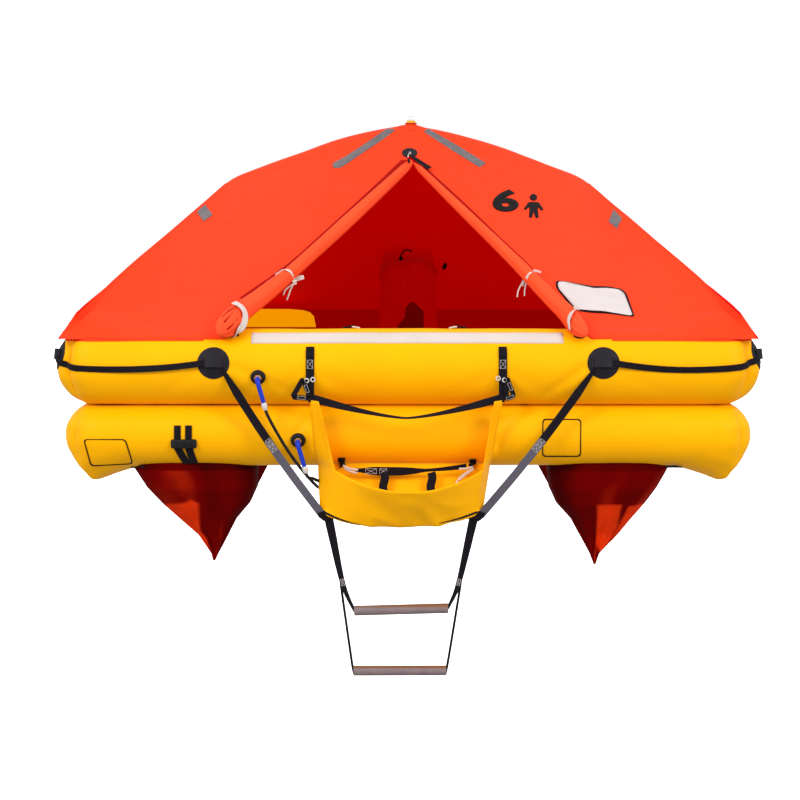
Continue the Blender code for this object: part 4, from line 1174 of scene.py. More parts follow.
def canopy_marks():
    """Reflective tapes on both faces, the number of people with its figure, and a blank label."""
    tapes = {
        "strip_left": (4.0, [
            (332, 165.6), (334, 162.8), (345, 157), (361, 146.6), (376, 136.2), (387, 128.9), (395.6, 129.6),
            (390.8, 134), (378, 143), (366, 151), (347, 164), (340, 168), (334, 168.2),
        ]),
        "strip_right": (4.0, [
            (423.7, 131.9), (428.2, 128.8), (457, 145.5), (486.1, 163.5), (479.5, 167.6), (452, 150.5),
        ]),
        "patch_left": (2.5, [(204.8, 204.7), (212.8, 215.1), (203.6, 221.7), (196.8, 212.4)]),
        "patch_right": (2.5, [(613.6, 209.7), (622.0, 218.6), (617.0, 229.0), (608.5, 221.9)]),
    }
    for name, (size, outline) in tapes.items():
        decal("reflective_" + name, [outline], ON_CANOPY, SILVER_TAPE, size, mirror=REAR)
    numeral()
    capacity_figure()
    label = [(555.5, 281.0), (563, 281.2), (592, 286.4), (606, 286.6), (621, 289.0), (626.5, 293.5)]
    label += [(634.5, 316.2), (632, 317.0), (606, 313.6), (592, 313.2), (574, 310.6), (556, 288)]
    label = rounded_loop(label, 3.0)
    decal("label_border", [label], ON_CANOPY, PRINT_INK, lift=0.001)
    decal("blank_label", [inset(label, 2.3)], ON_CANOPY, LABEL_VINYL, lift=0.0016)


def numeral():
    """The capacity number, a wide bold six."""
    curve = bpy.data.curves.new("six", "FONT")
    curve.body = "6"
    curve.offset = 0.045
    curve.resolution_u = 8
    shape = fine_flat(curve, 3.0, (492.5, 189.5, 518.5, 212.0))
    laid_flat("capacity_number", shape, ON_CANOPY, PRINT_INK)


def capacity_figure():
    """A plain standing figure beside the number: a round head over a body with its arms held out."""
    decal("capacity_figure_head", [arc((533.4, 197.6), 3.7, 3.4, 0, 340, 18)], ON_CANOPY, PRINT_INK, size=2.0)
    body = [(528.6, 202.2), (538.6, 202.4), (543.4, 209.6), (541.6, 211.2), (538.0, 207.0), (537.8, 210.6)]
    body += [(538.6, 218.4), (535.4, 218.2), (533.6, 211.4), (532.0, 218.0), (528.8, 217.8), (529.4, 210.2)]
    body += [(529.2, 206.8), (525.4, 210.6), (523.6, 209.0)]
    decal("capacity_figure_body", [rounded_loop(body, 1.2, 3)], ON_CANOPY, PRINT_INK, size=2.5)


canopy_marks()


def outline_frames():
    """Two printed frames on the lower tube, left blank."""
    frames = (
        ("left", [(83.3, 439.0), (125.8, 439.0), (133.4, 463.8), (90.6, 466.2)]),
        ("right", [(542.3, 419.0), (581.3, 419.0), (581.0, 456.6), (542.0, 456.6)]),
    )
    for name, corners in frames:
        outer = rounded_loop(corners, 4.0)
        loops = [outer, inset(outer, 1.3)[::-1]]
        decal("printed_frame_" + name, loops, ON_LOWER, PRINT_INK, slot="tube_fabric")


outline_frames()


def sill_strip():
    """The white rubbing strip along the top of the tube, across the entrance."""
    rows = []
    for k in range(9):
        angle = radians(40.5 + 25.0 * k / 8)
        edge = 0.0016 * (1 - ((k - 4) / 4) ** 6)
        row = []
        for i in range(61):
            t = i / 60
            x = -0.488 + 0.969 * t
            wave = 0.0006 * noise.noise(Vector((x * 9, k * 0.3, 2)))
            out = Vector((0, -cos(angle), sin(angle)))
            point = Vector((x, -HALF_Y, UPPER_Z)) + out * UPPER_RADIUS
            row.append(laid_on(ON_UPPER, point, -out, 0.001 + edge + wave))
        rows.append(row)
    obj = piece("sill_strip", *grid(rows), SILL_TAPE, "tube_fabric", sharp=60, facing=(0, -1, 1))
    thickened(obj, 0.0012, -1.0)


sill_strip()


# The entrance's rolled flaps

# Each roll's middle line in the frame, as u, v and half its width, from the apex down to the tube
ROLLS = {
    "left": (
        (409.2, 160.0, 2.2), (405, 168, 4.6), (350, 219.3, 6.6), (295, 269.2, 7.0), (275, 285.9, 8.5),
        (260, 297.9, 9.3), (240, 313, 10.7), (228, 325, 12.0), (219, 335, 11.0),
    ),
    "right": (
        (411.2, 161.5, 1.6), (419.5, 168.7, 3.0), (446, 194.6, 4.3), (478.4, 226, 5.3), (515.2, 261.8, 6.4),
        (552.0, 299.5, 8.2), (566.4, 313, 9.0), (578, 327, 9.2), (586, 336, 8.6),
    ),
}


def roll_ring(angle, t):
    """The rolled cloth's outline at an angle: round, with the groove that each turn's edge leaves."""
    share = 1.0 + 0.02 * noise.noise(Vector((cos(angle) * 2, sin(angle) * 2, t * 7)))
    for place, depth, half in ((1.15, 0.16, 0.15), (2.4, 0.08, 0.2), (-0.6, 0.09, 0.18)):
        away = (angle - place - 0.4 * t + pi) % (2 * pi) - pi
        share -= depth * exp(-((away / half) ** 2))
    return share


def make_roll(name):
    """A rolled-up flap: thin at the apex, thicker on its way down, and gathered in folds at its foot."""
    around = 48
    knots = []
    for u, v, half in ROLLS[name]:
        place, normal = seen_on(ON_UNCUT, u, v, 0.0, -0.9)
        way = sight(u, v)
        radius = half * (place.y - EYE.y) * SENSOR / FRAME_PX / LENS
        knots.append(Vector((*(place - way * (radius / abs(way.dot(normal)))), radius)))
    sections = []
    stations = smooth_route(knots, 0.007)
    last = len(stations) - 1
    for i, station in enumerate(stations):
        t = i / last
        centre = station.xyz
        along = (stations[min(i + 1, last)].xyz - stations[max(i - 1, 0)].xyz).normalized()
        out = Vector((0, -0.75, 0.66))
        side = along.cross(out).normalized()
        up = side.cross(along)
        up = up if up.dot(out) > 0 else -up
        side = side if side.x * (1 if name == "right" else -1) > 0 else -side
        gather = max(0.0, (t - 0.84) / 0.16)
        close = min(1.0, 0.25 + t * 14) * sqrt(max(0.02, 1 - max(0.0, (t - 0.93) / 0.07) ** 2))
        ring = []
        for k in range(around):
            a = 2 * pi * k / around
            r = station.w * close * roll_ring(a, t)
            r *= 1 + gather * (0.11 * sin(7 * a + 1.5 * t) + 0.05 * sin(13 * a - 2.0 * t))
            ring.append(centre + r * (side * cos(a) + up * (0.92 * sin(a))))
        sections.append(ring)
    shape = loft(sections)
    # The rolls wear the canopy cloth painted lighter: painted light
    obj = piece("rolled_flap_" + name, *shape, LIT_FLAP_CLOTH, "canopy_fabric", sharp=60)
    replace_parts(obj, "door_roll_" + name)
    return shape


def drawn_ribbon(name, pixels, surface, width, material, lift, thick, slot="webbing", depth=-1.0):
    """A strip along a line of the frame's pixels, laid on what is seen there."""
    places = [seen_on(surface, u, v, lift, depth) for u, v in pixels]
    points = smooth_route([p for p, _ in places], 0.007)
    spans = len(points) - 1
    normals, widths = [], []
    for i in range(len(points)):
        t = i / spans * (len(places) - 1)
        k = min(int(t), len(places) - 2)
        normals.append(places[k][1].lerp(places[k + 1][1], t - k))
        if isinstance(width, tuple):
            share = i / spans * (len(width) - 1)
            j = min(int(share), len(width) - 2)
            widths.append(width[j] + (width[j + 1] - width[j]) * (share - j))
    return ribbon(name, points, normals, widths or width, material, thick, slot)


def front_strip(name, pixels, depth, width, material=BLACK_WEBBING, slot="webbing"):
    """A strip along a line of the frame's pixels, on an upright plane that faces the front."""
    points = smooth_route([at_depth(u, v, depth) for u, v in pixels], 0.006)
    return ribbon(name, points, FRONT, width, material, 0.002, slot)


LEFT_ROLL = make_roll("left")
RIGHT_ROLL = make_roll("right")
ON_ROLLS = surface_of(*joined(LEFT_ROLL, RIGHT_ROLL), closed=False)
ON_DOOR = surface_of(*joined(LEFT_ROLL, RIGHT_ROLL, (CANOPY_POINTS, CANOPY_FACES)), closed=False)


# Painted shade in the creases of the left roll's gathered foot
FOOT_CREASE_SHADES = (
    [(215, 331), (224, 322), (233, 313)],
    [(219, 335.5), (229, 328), (238, 319)],
    [(221.5, 318), (228, 311.5), (234, 307.5)],
)
# A painted pool of daylight: the part of the tube's inner face that the light from the entrance reaches
DAYLIT = [(240, 309.6), (262, 309.6), (290, 309.8), (303, 310.8), (310, 312.8), (314, 317.0), (316, 327.3)]
DAYLIT += [(240, 327.3)]
# Painted shade along the line where each flap turns back: the shade's widths and its line
FLAP_FOLD_SHADES = {
    "left": ((0.016, 0.013, 0.01, 0.012), [
        (403.5, 161.5), (380, 184), (350, 211.5), (320, 238.5), (296, 260), (276, 275.5), (258, 288),
        (241, 300),
    ]),
    "right": ((0.008, 0.012, 0.008, 0.003), [
        (424, 168.5), (450, 192.5), (475, 216), (500, 240), (524, 262), (534, 272),
    ]),
}
# White tapes tied round the rolls half way down: widths and line
FLAP_TAPES = {
    "left_arc": (
        (0.006, 0.01, 0.011, 0.007),
        [(275.5, 275), (280.5, 272), (285.5, 269.9), (290.7, 272.6), (294, 279)],
    ),
    "right_arc": ((0.006, 0.011, 0.009), [(541, 272.5), (535.5, 270.8), (530, 273.5), (526.5, 278)]),
    "left_loop": ((0.01, 0.016, 0.013), [(294.3, 281), (298, 278.6), (304, 277)]),
    "right_loop": ((0.01, 0.015, 0.01), [(528, 277.6), (523.5, 282), (522, 286)]),
}
# The broad bands round their feet: lift, widths and line
FLAP_BANDS = {
    "left": (0.0075, (0.02, 0.022, 0.022, 0.011), [
        (234.5, 304.5), (240.5, 308.5), (243.8, 316), (241.5, 324), (235.5, 331.5), (229, 338),
    ]),
    "right": (0.008, (0.024, 0.018, 0.012), [(577.5, 308.5), (573.4, 313.5), (570.6, 321), (572, 328.5)]),
}


def door_details():
    """Painted shade along the flaps' folds and in the left roll's creases, the black patch and straps at the
    apex, painted daylight on the tube's inner face, and the tapes that hold the rolls.
    """
    # Painted shade along each flap's fold
    for name, (widths, line) in FLAP_FOLD_SHADES.items():
        drawn_ribbon("flap_fold_shade_" + name, line, ON_UNCUT, widths, FOLD_SHADE_AND_EDGE_CLOTH, 0.006, 0.0016, "canopy_fabric")
    patch = arc((409.6, 153.3), 7.6, 4.7, 0, 345, 24)
    decal("apex_patch", [patch], ON_CANOPY, RUBBER, 3.0, lift=0.0012, thickness=0.0016, slot="moulded_rubber")
    for k, ends in enumerate((((408.4, 155.5), (407.9, 158.2)), ((411.0, 155.5), (411.4, 158.2)))):
        line = [(409.8, 152.8), *ends]
        drawn_ribbon(f"apex_toggle_{k}", line, ON_DOOR, 0.0036, WHITE_CORD, 0.0036, 0.002, depth=-0.29)
    line = [(409.4, 158.2), (408.9, 160.4), (408.6, 163.0)]
    drawn_ribbon("apex_loop", line, ON_DOOR, 0.009, BLACK_WEBBING, 0.002, 0.002, depth=-0.3)
    line = [(411.5, 159.5), (416, 163), (422, 167), (429, 171.5)]
    widths = (0.012, 0.019, 0.02, 0.024)
    drawn_ribbon("apex_strap", line, ON_UNCUT, widths, BLACK_WEBBING, 0.014, 0.002, depth=-0.32)
    # Painted light: the pool of daylight on the tube's inner face
    decal("tube_painted_daylight", [DAYLIT], ON_UPPER, LIT_TUBE_CLOTH, 5.0, lift=0.0022, slot="tube_fabric")
    # Painted shade in the creases of the left roll's foot
    widths = (0.002, 0.006, 0.002)
    for k, line in enumerate(FOOT_CREASE_SHADES):
        drawn_ribbon(f"roll_crease_shade_{k}", line, ON_ROLLS, widths, FOLD_SHADE_AND_EDGE_CLOTH, 0.001, 0.001, "canopy_fabric")
    for name, (widths, line) in FLAP_TAPES.items():
        drawn_ribbon("flap_tape_" + name, line, ON_ROLLS, widths, WHITE_CORD, 0.0018, 0.0016, depth=-0.745)
    for name, (lift, widths, line) in FLAP_BANDS.items():
        drawn_ribbon("flap_band_" + name, line, ON_ROLLS, widths, WHITE_CORD, lift, 0.003, depth=-0.95)
    front_strip("flap_loop_left", [(229, 338), (233, 335.8), (239, 335)], -1.025, 0.014)
    front_strip("flap_loop_right", [(574.5, 334), (578, 336), (583.5, 338.5)], -1.035, 0.016)


door_details()


def tie_tail(name, pixels, depth, radius=0.0026):
    """A free end of a roll's tape, hanging from its knot."""
    places = [at_depth(u, v, depth - 0.004 * i) for i, (u, v) in enumerate(pixels)]
    points = smooth_route(places, 0.006)
    cord = round_cord(name, points, radius, WHITE_CORD)


def knot(name, u, v, size, depth):
    """A small pulled knot: two turns of tape crossed over each other."""
    middle = at_depth(u, v, depth)
    route = []
    for i in range(33):
        a = 2 * pi * i / 32
        out = Vector((0.75 * sin(2 * a), 0.35 * cos(3 * a), 0.75 * cos(a)))
        route.append(middle + size * out)
    piece(name, *tube_mesh(route, size * 0.38, 12), WHITE_CORD, "webbing")


def thin_cord(name, pixels, depth, step, radius, material):
    """A short round cord along a line of the frame's pixels, on an upright plane."""
    route = smooth_route([at_depth(u, v, depth) for u, v in pixels], step)
    piece(name, *tube_mesh(route, radius, 10), material, "webbing")
    return route


def ties():
    """The knots and tails of the rolls' tapes, and the ends of cord at the sill."""
    knot("tie_knot_left", 294.4, 282.4, 0.007, -0.78)
    knot("tie_knot_right", 527.8, 277.4, 0.007, -0.765)
    tie_tail("tie_tail_left", [(293.4, 284), (290.6, 289.5), (288.6, 295), (286.8, 300)], -0.782)
    tie_tail("tie_tail_left_short", [(292.6, 284), (287.5, 288.0), (284.4, 291.5), (283.6, 295)], -0.78)
    tie_tail("tie_tail_right", [(526.8, 279), (521.5, 284.5), (518.4, 290.5), (517.2, 297)], -0.767)
    tie_tail("tie_tail_right_short", [(528, 279), (526, 284.5), (524.8, 290), (524.5, 296)], -0.765)
    black, white = ((-9, 1.2), (-4, -0.4), (2, -1.0), (9, 1.2)), ((1, -0.6), (5, -0.2), (9, 0.8))
    for name, u, v, sx in (("left", 351, 327.4, 1), ("right", 458, 327.4, -1)):
        line = [(u + sx * du, v + dv) for du, dv in black]
        thin_cord("sill_cord_black_" + name, line, -0.9, 0.005, 0.003, BLACK_CORD)
        line = [(u + sx * du, v + dv) for du, dv in white]
        thin_cord("sill_cord_white_" + name, line, -0.903, 0.005, 0.0026, WHITE_CORD)


ties()


# Rubber patches, valves and elbows


def patch_disc(name, centre, normal, radius, surface):
    """A round patch that follows the tube: a thin bevelled rim, a stepped middle and a raised loop across."""
    side = normal.cross(UP).normalized()
    up = side.cross(normal)
    profile = ((radius, 0.0002), (radius - 0.0006, 0.0022), (radius - 0.005, 0.003), (radius * 0.62, 0.0036))
    profile += ((radius * 0.56, 0.005), (radius * 0.36, 0.0052), (radius * 0.12, 0.0052))
    around = 40
    rings = []
    for r, lift in profile:
        rings.append([laid_on(surface, p, -normal, lift) for p in circle(centre, side, up, r, around)])
    points, faces = loft(rings, caps=False)
    faces.append(tuple(range(len(points) - around, len(points))))
    base = piece("rubber_" + name, points, faces, RUBBER, "moulded_rubber", sharp=45, facing=normal)
    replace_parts(base, name)
    route = []
    for i in range(21):
        t = i / 10 - 1
        hump = 0.0045 + 0.01 * max(0.0, 1 - abs(t) ** 3) if abs(t) < 0.8 else 0.0056
        route.append(laid_on(surface, centre + side * (t * radius * 0.74), -normal, hump))
    ribbon("loop_" + name, route, normal, radius * 0.66, RUBBER, 0.0035, "moulded_rubber")


for patch_name, (patch_centre, patch_normal) in PATCHES.items():
    patch_disc("patch_" + patch_name, patch_centre, patch_normal, 0.05, ON_UPPER)


def hexagon(radius, low, high, axis, place):
    profile = ((radius * 0.88, low), (radius, low + 0.0012), (radius, high - 0.0015), (radius * 0.86, high))
    return turned(profile, 6, axis, place)


def make_valve(which):
    """An inflation valve: a black moulded ring with a domed flange, a brass hexagon and a brass stem."""
    seat, axis = valve_place(which)
    ring = ((0.004, 0.0), (0.0232, 0.0), (0.0236, 0.002), (0.0225, 0.005), (0.0185, 0.0085))
    ring += ((0.015, 0.0096), (0.014, 0.0078), (0.004, 0.0076))
    base = piece("valve_ring_" + which, *turned(ring, 40, axis, seat), RUBBER, "moulded_rubber", sharp=50)
    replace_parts(base, "valve_" + which)
    body = hexagon(0.0125, 0.0074, 0.0155, axis, seat)
    stem = turned(((0.0088, 0.015), (0.0092, 0.016), (0.0092, 0.0205), (0.008, 0.0216)), 28, axis, seat)
    piece("valve_brass_" + which, *joined(body, stem), BRASS, "valve_brass", sharp=30)


def make_elbow(which):
    """The valve's blue elbow: a plain collar, ribs on its way down, and a slight taper."""
    points = smooth_route(elbow_route(which)[0], 0.004)
    total = length_of(points)

    def radius(t):
        ribs = 0.0005 * (sin(2 * pi * t * total / 0.008) > 0.3) if 0.45 < t < 0.95 else 0.0
        return 0.0076 - 0.001 * t + ribs + (0.0012 if t < 0.1 else 0.0)

    elbow = tube_mesh(points, radius, 28)
    made = piece("moulded_elbow_" + which, *elbow, BLUE_PLASTIC, "elbow_plastic", sharp=40)
    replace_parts(made, "hose_elbow_" + which)


for valve in VALVES:
    make_valve(valve)
    make_elbow(valve)


# Webbing on the tubes: tabs, bridles, the grab strap and the buckle

TAB_X = (-0.304, 0.292)
TAB_WIDTH = 0.026
TAB_THICK = 0.003
TAB_FACE_Y = -1.0905
GRAB_Z = 0.22
GRAB_SAG = 0.058
GRAB_FORWARD = 0.034
HINGE_Z = -0.1518
# The far corners of the pouch's foot, where the bridles end and the ladder's straps are sewn on
CORNER_X = (-0.246, 0.201)


def stitched_box(name, middle, right, up, width, height, body=ROOT, cross=True):
    """A sewn box of thread with a cross in it, standing just proud of the webbing."""
    w, h = width / 2, height / 2
    corners = [middle + right * (sx * w) + up * (sy * h) for sx, sy in ((-1, -1), (1, -1), (1, 1), (-1, 1))]
    lines = [(corners[i], corners[(i + 1) % 4]) for i in range(4)]
    if cross:
        lines += [(corners[0], corners[2]), (corners[1], corners[3])]
    parts = []
    out = right.cross(up).normalized()
    for a, b in lines:
        count = max(2, round((b - a).length / 0.0045))
        for i in range(count):
            first, second = a.lerp(b, (i + 0.15) / count), a.lerp(b, (i + 0.85) / count)
            hump = out * 0.0005
            parts.append(tube_mesh([first, first.lerp(second, 0.5) + hump, second], 0.0006, 6))
    return piece(name, *joined(*parts), WHITE_CORD, "webbing", body)


def make_tab(name, x):
    """The webbing tab that one side of the pouch hangs from, folded over at its top."""
    route = [on_front(ON_UPPER, x, 0.378 - 0.01 * i, 0.003) for i in range(9)]
    hanging = ((-1.0875, 0.284), (-1.0885, 0.262), (-1.0885, 0.238), (-1.0885, 0.214))
    route += [Vector((x, y, z)) for y, z in hanging]
    normals = [tube_way("upper", max(UPPER_Z, p.z)) for p in route]
    strap = ribbon("webbing_tab_" + name, route, normals, TAB_WIDTH, thick=TAB_THICK)
    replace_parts(strap, "pouch_tab_" + name)
    fold = [on_front(ON_UPPER, x, 0.372 - 0.006 * i, 0.0062) for i in range(5)]
    normals = [tube_way("upper", p.z) for p in fold]
    ribbon("webbing_fold_" + name, fold, normals, TAB_WIDTH, thick=TAB_THICK)
    stitched_box("tab_stitches_" + name, on_front(ON_UPPER, x, 0.325, 0.0052), RIGHT, UP, 0.017, 0.026)


def ring_piece(name, middle, normal, radius, thick, material, slot):
    side = normal.orthogonal().normalized()
    sections = []
    for point in circle(middle, side, normal.cross(side), radius, 40):
        sections.append(circle(point, (point - middle).normalized(), normal, thick, 12))
    piece(name, *loft(sections, closed=True), material, slot)


def triangle_loop(name, corners, y, width):
    """A bight of webbing sewn into a triangle, with pale stitching at its corners."""
    points = [at_depth(u, v, y) for u, v in corners]
    closed = [*points, points[0]]
    route = []
    for a, b in zip(closed, closed[1:]):
        route += [a.lerp(b, t) for t in (0.06, 0.35, 0.65, 0.94)]
    route.append(route[0].copy())
    ribbon(name, route, FRONT, width, thick=0.0028)
    for k, (a, b) in enumerate(zip(points, points[1:])):
        along = (b - a).normalized()
        up = along.cross(FRONT).normalized()
        middle = a.lerp(b, 0.5) + FRONT * 0.0022
        stitched_box(f"{name}_stitches_{k}", middle, along, up, 0.024, width * 0.55, cross=False)


def grab_strap():
    """The strap that sags across the pouch's mouth, laid on the tabs at its ends, turned up in its middle."""
    on_tab = TAB_FACE_Y - 0.003
    left, right = TAB_X[0] + 0.0125, TAB_X[1] - 0.0125
    points, normals = [Vector((left - 0.018, on_tab, GRAB_Z))], [FRONT]
    for i in range(41):
        t = i / 40
        bow = 1 - abs(2 * t - 1) ** 1.4
        x = left + (right - left) * t
        points.append(Vector((x, on_tab - GRAB_FORWARD * bow**0.6, GRAB_Z - GRAB_SAG * bow)))
        normals.append(FRONT.lerp(Vector((0, -0.45, 0.9)), bow).normalized())
    points.append(Vector((right + 0.018, on_tab, GRAB_Z)))
    normals.append(FRONT)
    widths = [0.024 - 0.013 * max(0.0, 1 - abs(2 * i / 42 - 1) * 1.25) for i in range(43)]
    strap = ribbon("webbing_grab_strap", points, normals, widths)
    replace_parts(strap, "pouch_grab_strap")


def bridle(name, sx):
    """The strap from a front patch to the pouch's corner: gathered and black, then stitched and painted grey
    where it turns to the light.
    """
    start = Vector((sx * (FRONT_PATCH[0] - 0.026), -1.0975, FRONT_PATCH[1] - 0.02))
    end = Vector(((-0.2646, 0.2218)[sx > 0], -1.1225, -0.14))
    first = laid_on(UPPER_CAD, start, BACK, 0.0068)
    second = laid_on(UPPER_CAD, start.lerp(end, 0.04), BACK, 0.0068)
    line = [first, second]
    for i in range(1, 25):
        sag = sin(pi * i / 24)
        line.append(second.lerp(end, i / 24) + Vector((sx * 0.007 * sag, 0, -0.004 * sag)))
    split = 13
    wave = [FRONT + Vector((0.1 * sin(i * 0.8 + sx), 0, 0)) for i in range(len(line))]
    widths = [0.011 + 0.015 * min(1.0, i / 4) for i in range(split + 1)]
    upper = ribbon("bridle_upper_" + name, line[: split + 1], wave[: split + 1], widths)
    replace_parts(upper, "bridle_" + name)
    low = [p + FRONT * 0.0003 for p in line[split - 1 :]]
    # Painted highlight: the lower length is painted grey where it turns to the light
    ribbon("bridle_lower_" + name, low, wave[split - 1 :], 0.0255, LIT_GREY_WEBBING)
    along = (end - second).normalized()
    across = along.cross(FRONT).normalized()
    for k, step in enumerate((split - 1, split)):
        middle = line[step].lerp(line[step + 1], 0.3) + FRONT * 0.0022
        stitched_box(f"bridle_stitches_{name}_{k}", middle, across, -along, 0.017, 0.02)
    hinge_x = sx * 0.2235 - 0.0225
    turn = ((sx * 0.004, -0.003, 0.012), (0, -0.003, 0.002), (-sx * 0.01, -0.003, -0.006))
    corner = [*(end + Vector(step) for step in turn), Vector((hinge_x, -1.1225, HINGE_Z + 0.003))]
    corner = smooth_route(corner, 0.004)
    ribbon("corner_webbing_" + name, corner, FRONT, 0.025, thick=0.0024)
    hem = [Vector((hinge_x - sx * step, -1.1245, -0.144)) for step in (-0.012, 0.0, 0.01, 0.02)]
    ribbon("corner_hem_" + name, hem, FRONT, 0.0125, thick=0.002)


def make_buckle():
    """A pair of short straps through one side-release buckle, on the front of the lower tube."""
    for k, (x, spread) in enumerate(((-0.7175, 0.0026), (-0.683, 0.0014))):
        route = [on_front(ON_LOWER, x, 0.133 - 0.0055 * i, 0.0035) for i in range(10)]
        normals = [tube_way("lower", p.z) for p in route]
        ribbon(f"painter_strap_{k}", route, normals, 0.021, thick=0.0028)
        low = [on_front(ON_LOWER, x + spread * i, 0.064 - 0.006 * i, 0.0045) for i in range(10)]
        normals = [tube_way("lower", p.z) for p in low]
        ribbon(f"painter_tail_{k}", low, normals, 0.024, thick=0.0028)
    middle = on_front(ON_LOWER, -0.698, 0.076, 0.006)
    rows = []
    for r, y in ((1.0, 0.005), (1.0, -0.002), (0.93, -0.0045), (0.8, -0.0055)):
        w, h = 0.04 * r, 0.014 * r
        outline = rounded_loop([(-w, -h), (w, -h), (w, h), (-w, h)], 0.006, 5)
        rows.append([middle + Vector((u, y, v)) for u, v in outline])
    buckle = piece("painter_release_buckle", *loft(rows), HOSE_RUBBER, "webbing", sharp=35)
    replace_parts(buckle, "painter_buckle")
    bars = []
    for u in (-0.024, 0.0, 0.024):
        route = [middle + Vector((u, -0.006, v)) for v in (-0.011, -0.004, 0.004, 0.011)]
        bars.append(tube_mesh(route, 0.0022, 12))
    piece("painter_buckle_bars", *joined(*bars), HOSE_RUBBER, "webbing")


make_tab("left", TAB_X[0])
make_tab("right", TAB_X[1])
grab_strap()
bridle("left", -1)
bridle("right", 1)
make_buckle()
triangle_loop("webbing_triangle_left", [(303.0, 379), (310.5, 398.5), (292.5, 397)], -1.096, 0.016)
triangle_loop("webbing_triangle_right", [(506.5, 377), (513.8, 396), (506.5, 399)], -1.096, 0.015)
EYELETS = {"left_a": (306.7, 380.7), "left_b": (312.9, 379.6), "right_a": (498.2, 378.4)}
EYELETS["right_b"] = (504.6, 380.0)
for ring_name, (ring_u, ring_v) in EYELETS.items():
    ring_middle = at_depth(ring_u, ring_v, -1.0955)
    ring_piece("eyelet_" + ring_name, ring_middle, FRONT, 0.0062, 0.002, WHITE_PLASTIC, "webbing")


# The boarding pouch

# Each edge of the pouch's cloth: its ends in X, its Y and Z there, how far its middle stands forward of
# them and hangs below them, and how square that sag is
POUCH_BACK = ((-0.283, 0.257), -1.0105, 0.011, 0.0, 0.0, 2)
POUCH_FOOT = ((-0.252, 0.206), -1.12, -0.1445, 0.045, 0.037, 4)
POUCH_LIP = ((-0.226, 0.228), -1.16, 0.005, 0.12, 0.055, 2)
POUCH_COLUMNS = 56
POUCH_SKIN = 0.0016


def pouch_line(row):
    (left, right), y, z, forward, down, power = row
    points = []
    for i in range(POUCH_COLUMNS + 1):
        s = 2 * i / POUCH_COLUMNS - 1
        bow = 1 - s * s
        drop = down * (1 - abs(s) ** power)
        points.append(Vector((left + (right - left) * (s + 1) / 2, y - forward * bow, z - drop)))
    return points


def rounded_between(a, b, c, steps, reach):
    """Points from a to c by way of b, with the turn at b rounded off."""
    enter, leave = b.lerp(a, reach), b.lerp(c, reach)
    points = [a.lerp(enter, i / steps) for i in range(steps)]
    for i in range(steps + 1):
        t = i / steps
        points.append(enter.lerp(b, t).lerp(b.lerp(leave, t), t))
    return points + [leave.lerp(c, (i + 1) / steps) for i in range(steps)]


def pouch_slack(point, side_share, depth_share):
    """Folds that run down from the lip to the foot, and the sag of the cloth between its corners."""
    folds = 0.5 - 2.2 * abs(noise.noise(Vector((point.x * 9 + point.z * 8, point.y * 4, point.z * 7))))
    fine = noise.noise(Vector((point.x * 34, point.y * 8, point.z * 14)))
    free = sin(pi * side_share) ** 0.5 * sin(pi * depth_share) ** 0.4
    return free * (0.0105 * folds + 0.003 * fine)


def pouch_body():
    back, foot, lip = pouch_line(POUCH_BACK), pouch_line(POUCH_FOOT), pouch_line(POUCH_LIP)
    columns = [rounded_between(b, f, l, 16, 0.16) for b, f, l in zip(back, foot, lip)]
    count = len(columns[0])
    rows = []
    for j in range(count):
        row = []
        for i, column in enumerate(columns):
            point = column[j]
            slack = pouch_slack(point, i / POUCH_COLUMNS, j / (count - 1))
            side = 2 * i / POUCH_COLUMNS - 1
            q = min(1.0, j / 32)
            point = point + Vector((side * side**4 * 0.034 * (q - q**6), 0, 0))
            out = Vector((0, -0.8, -0.6)) if j > 16 else -UP
            row.append(point + out * slack)
        rows.append(row)
    return rows


def gusset(rows, end, hang_back, hang_front, knee):
    """One side of the pouch: a narrow triangle of cloth from the tab to the back, the foot and the lip."""
    edge = [row[end] for row in rows]
    back, lip = edge[0], edge[-1]
    shin = Vector(((knee.x + back.x) / 2, -1.0525, 0.045))
    outer = smooth_route([hang_back, knee, shin, back], 0.012)
    inner = [hang_front.lerp(lip, i / (len(outer) - 1)) for i in range(len(outer))]
    fold = 0.01 if end == 0 else -0.01
    upper = []
    for i, (a, b) in enumerate(zip(outer, inner)):
        t = i / (len(outer) - 1)
        row = []
        for k in range(9):
            s = k / 8
            bow = sin(pi * s) * sin(pi * min(1.0, t + 0.08))
            row.append(a.lerp(b, s) + Vector((fold * bow + 0.002 * sin(9 * t + 4 * s) * bow, 0, 0)))
        upper.append(row)
    lower = []
    half = len(edge) // 2
    bottom = edge[: half + 1]
    front = list(reversed(edge[half:]))
    for i in range(len(bottom)):
        front_point = front[min(len(front) - 1, round(i * (len(front) - 1) / (len(bottom) - 1)))]
        lower.append([bottom[i].lerp(front_point, k / 8) for k in range(9)])
    return joined(grid(upper), grid(lower))


def make_pouch():
    rows = pouch_body()
    left_hang = Vector((-0.304, -1.0925, 0.214)), Vector((-0.277, -1.112, 0.212))
    right_hang = Vector((0.292, -1.0925, 0.214)), Vector((0.265, -1.112, 0.212))
    left = gusset(rows, 0, *left_hang, Vector((-0.296, -1.0665, 0.1)))
    right = gusset(rows, -1, *right_hang, Vector((0.27, -1.0665, 0.1)))
    bm = as_bmesh(*joined(grid(rows), left, right), 0.0006)
    points, faces = shape_of(bm)
    area = sum(f.calc_area() for f in bm.faces)
    bm.free()
    pouch = piece("pouch_cloth", points, faces, POUCH_CLOTH, "tube_fabric", sharp=55, facing=(0, -0.3, -1))
    thickened(pouch, POUCH_SKIN, 0.0)
    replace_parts(pouch, "boarding_pouch")
    return surface_of(points, faces, closed=False)


ON_POUCH = make_pouch()


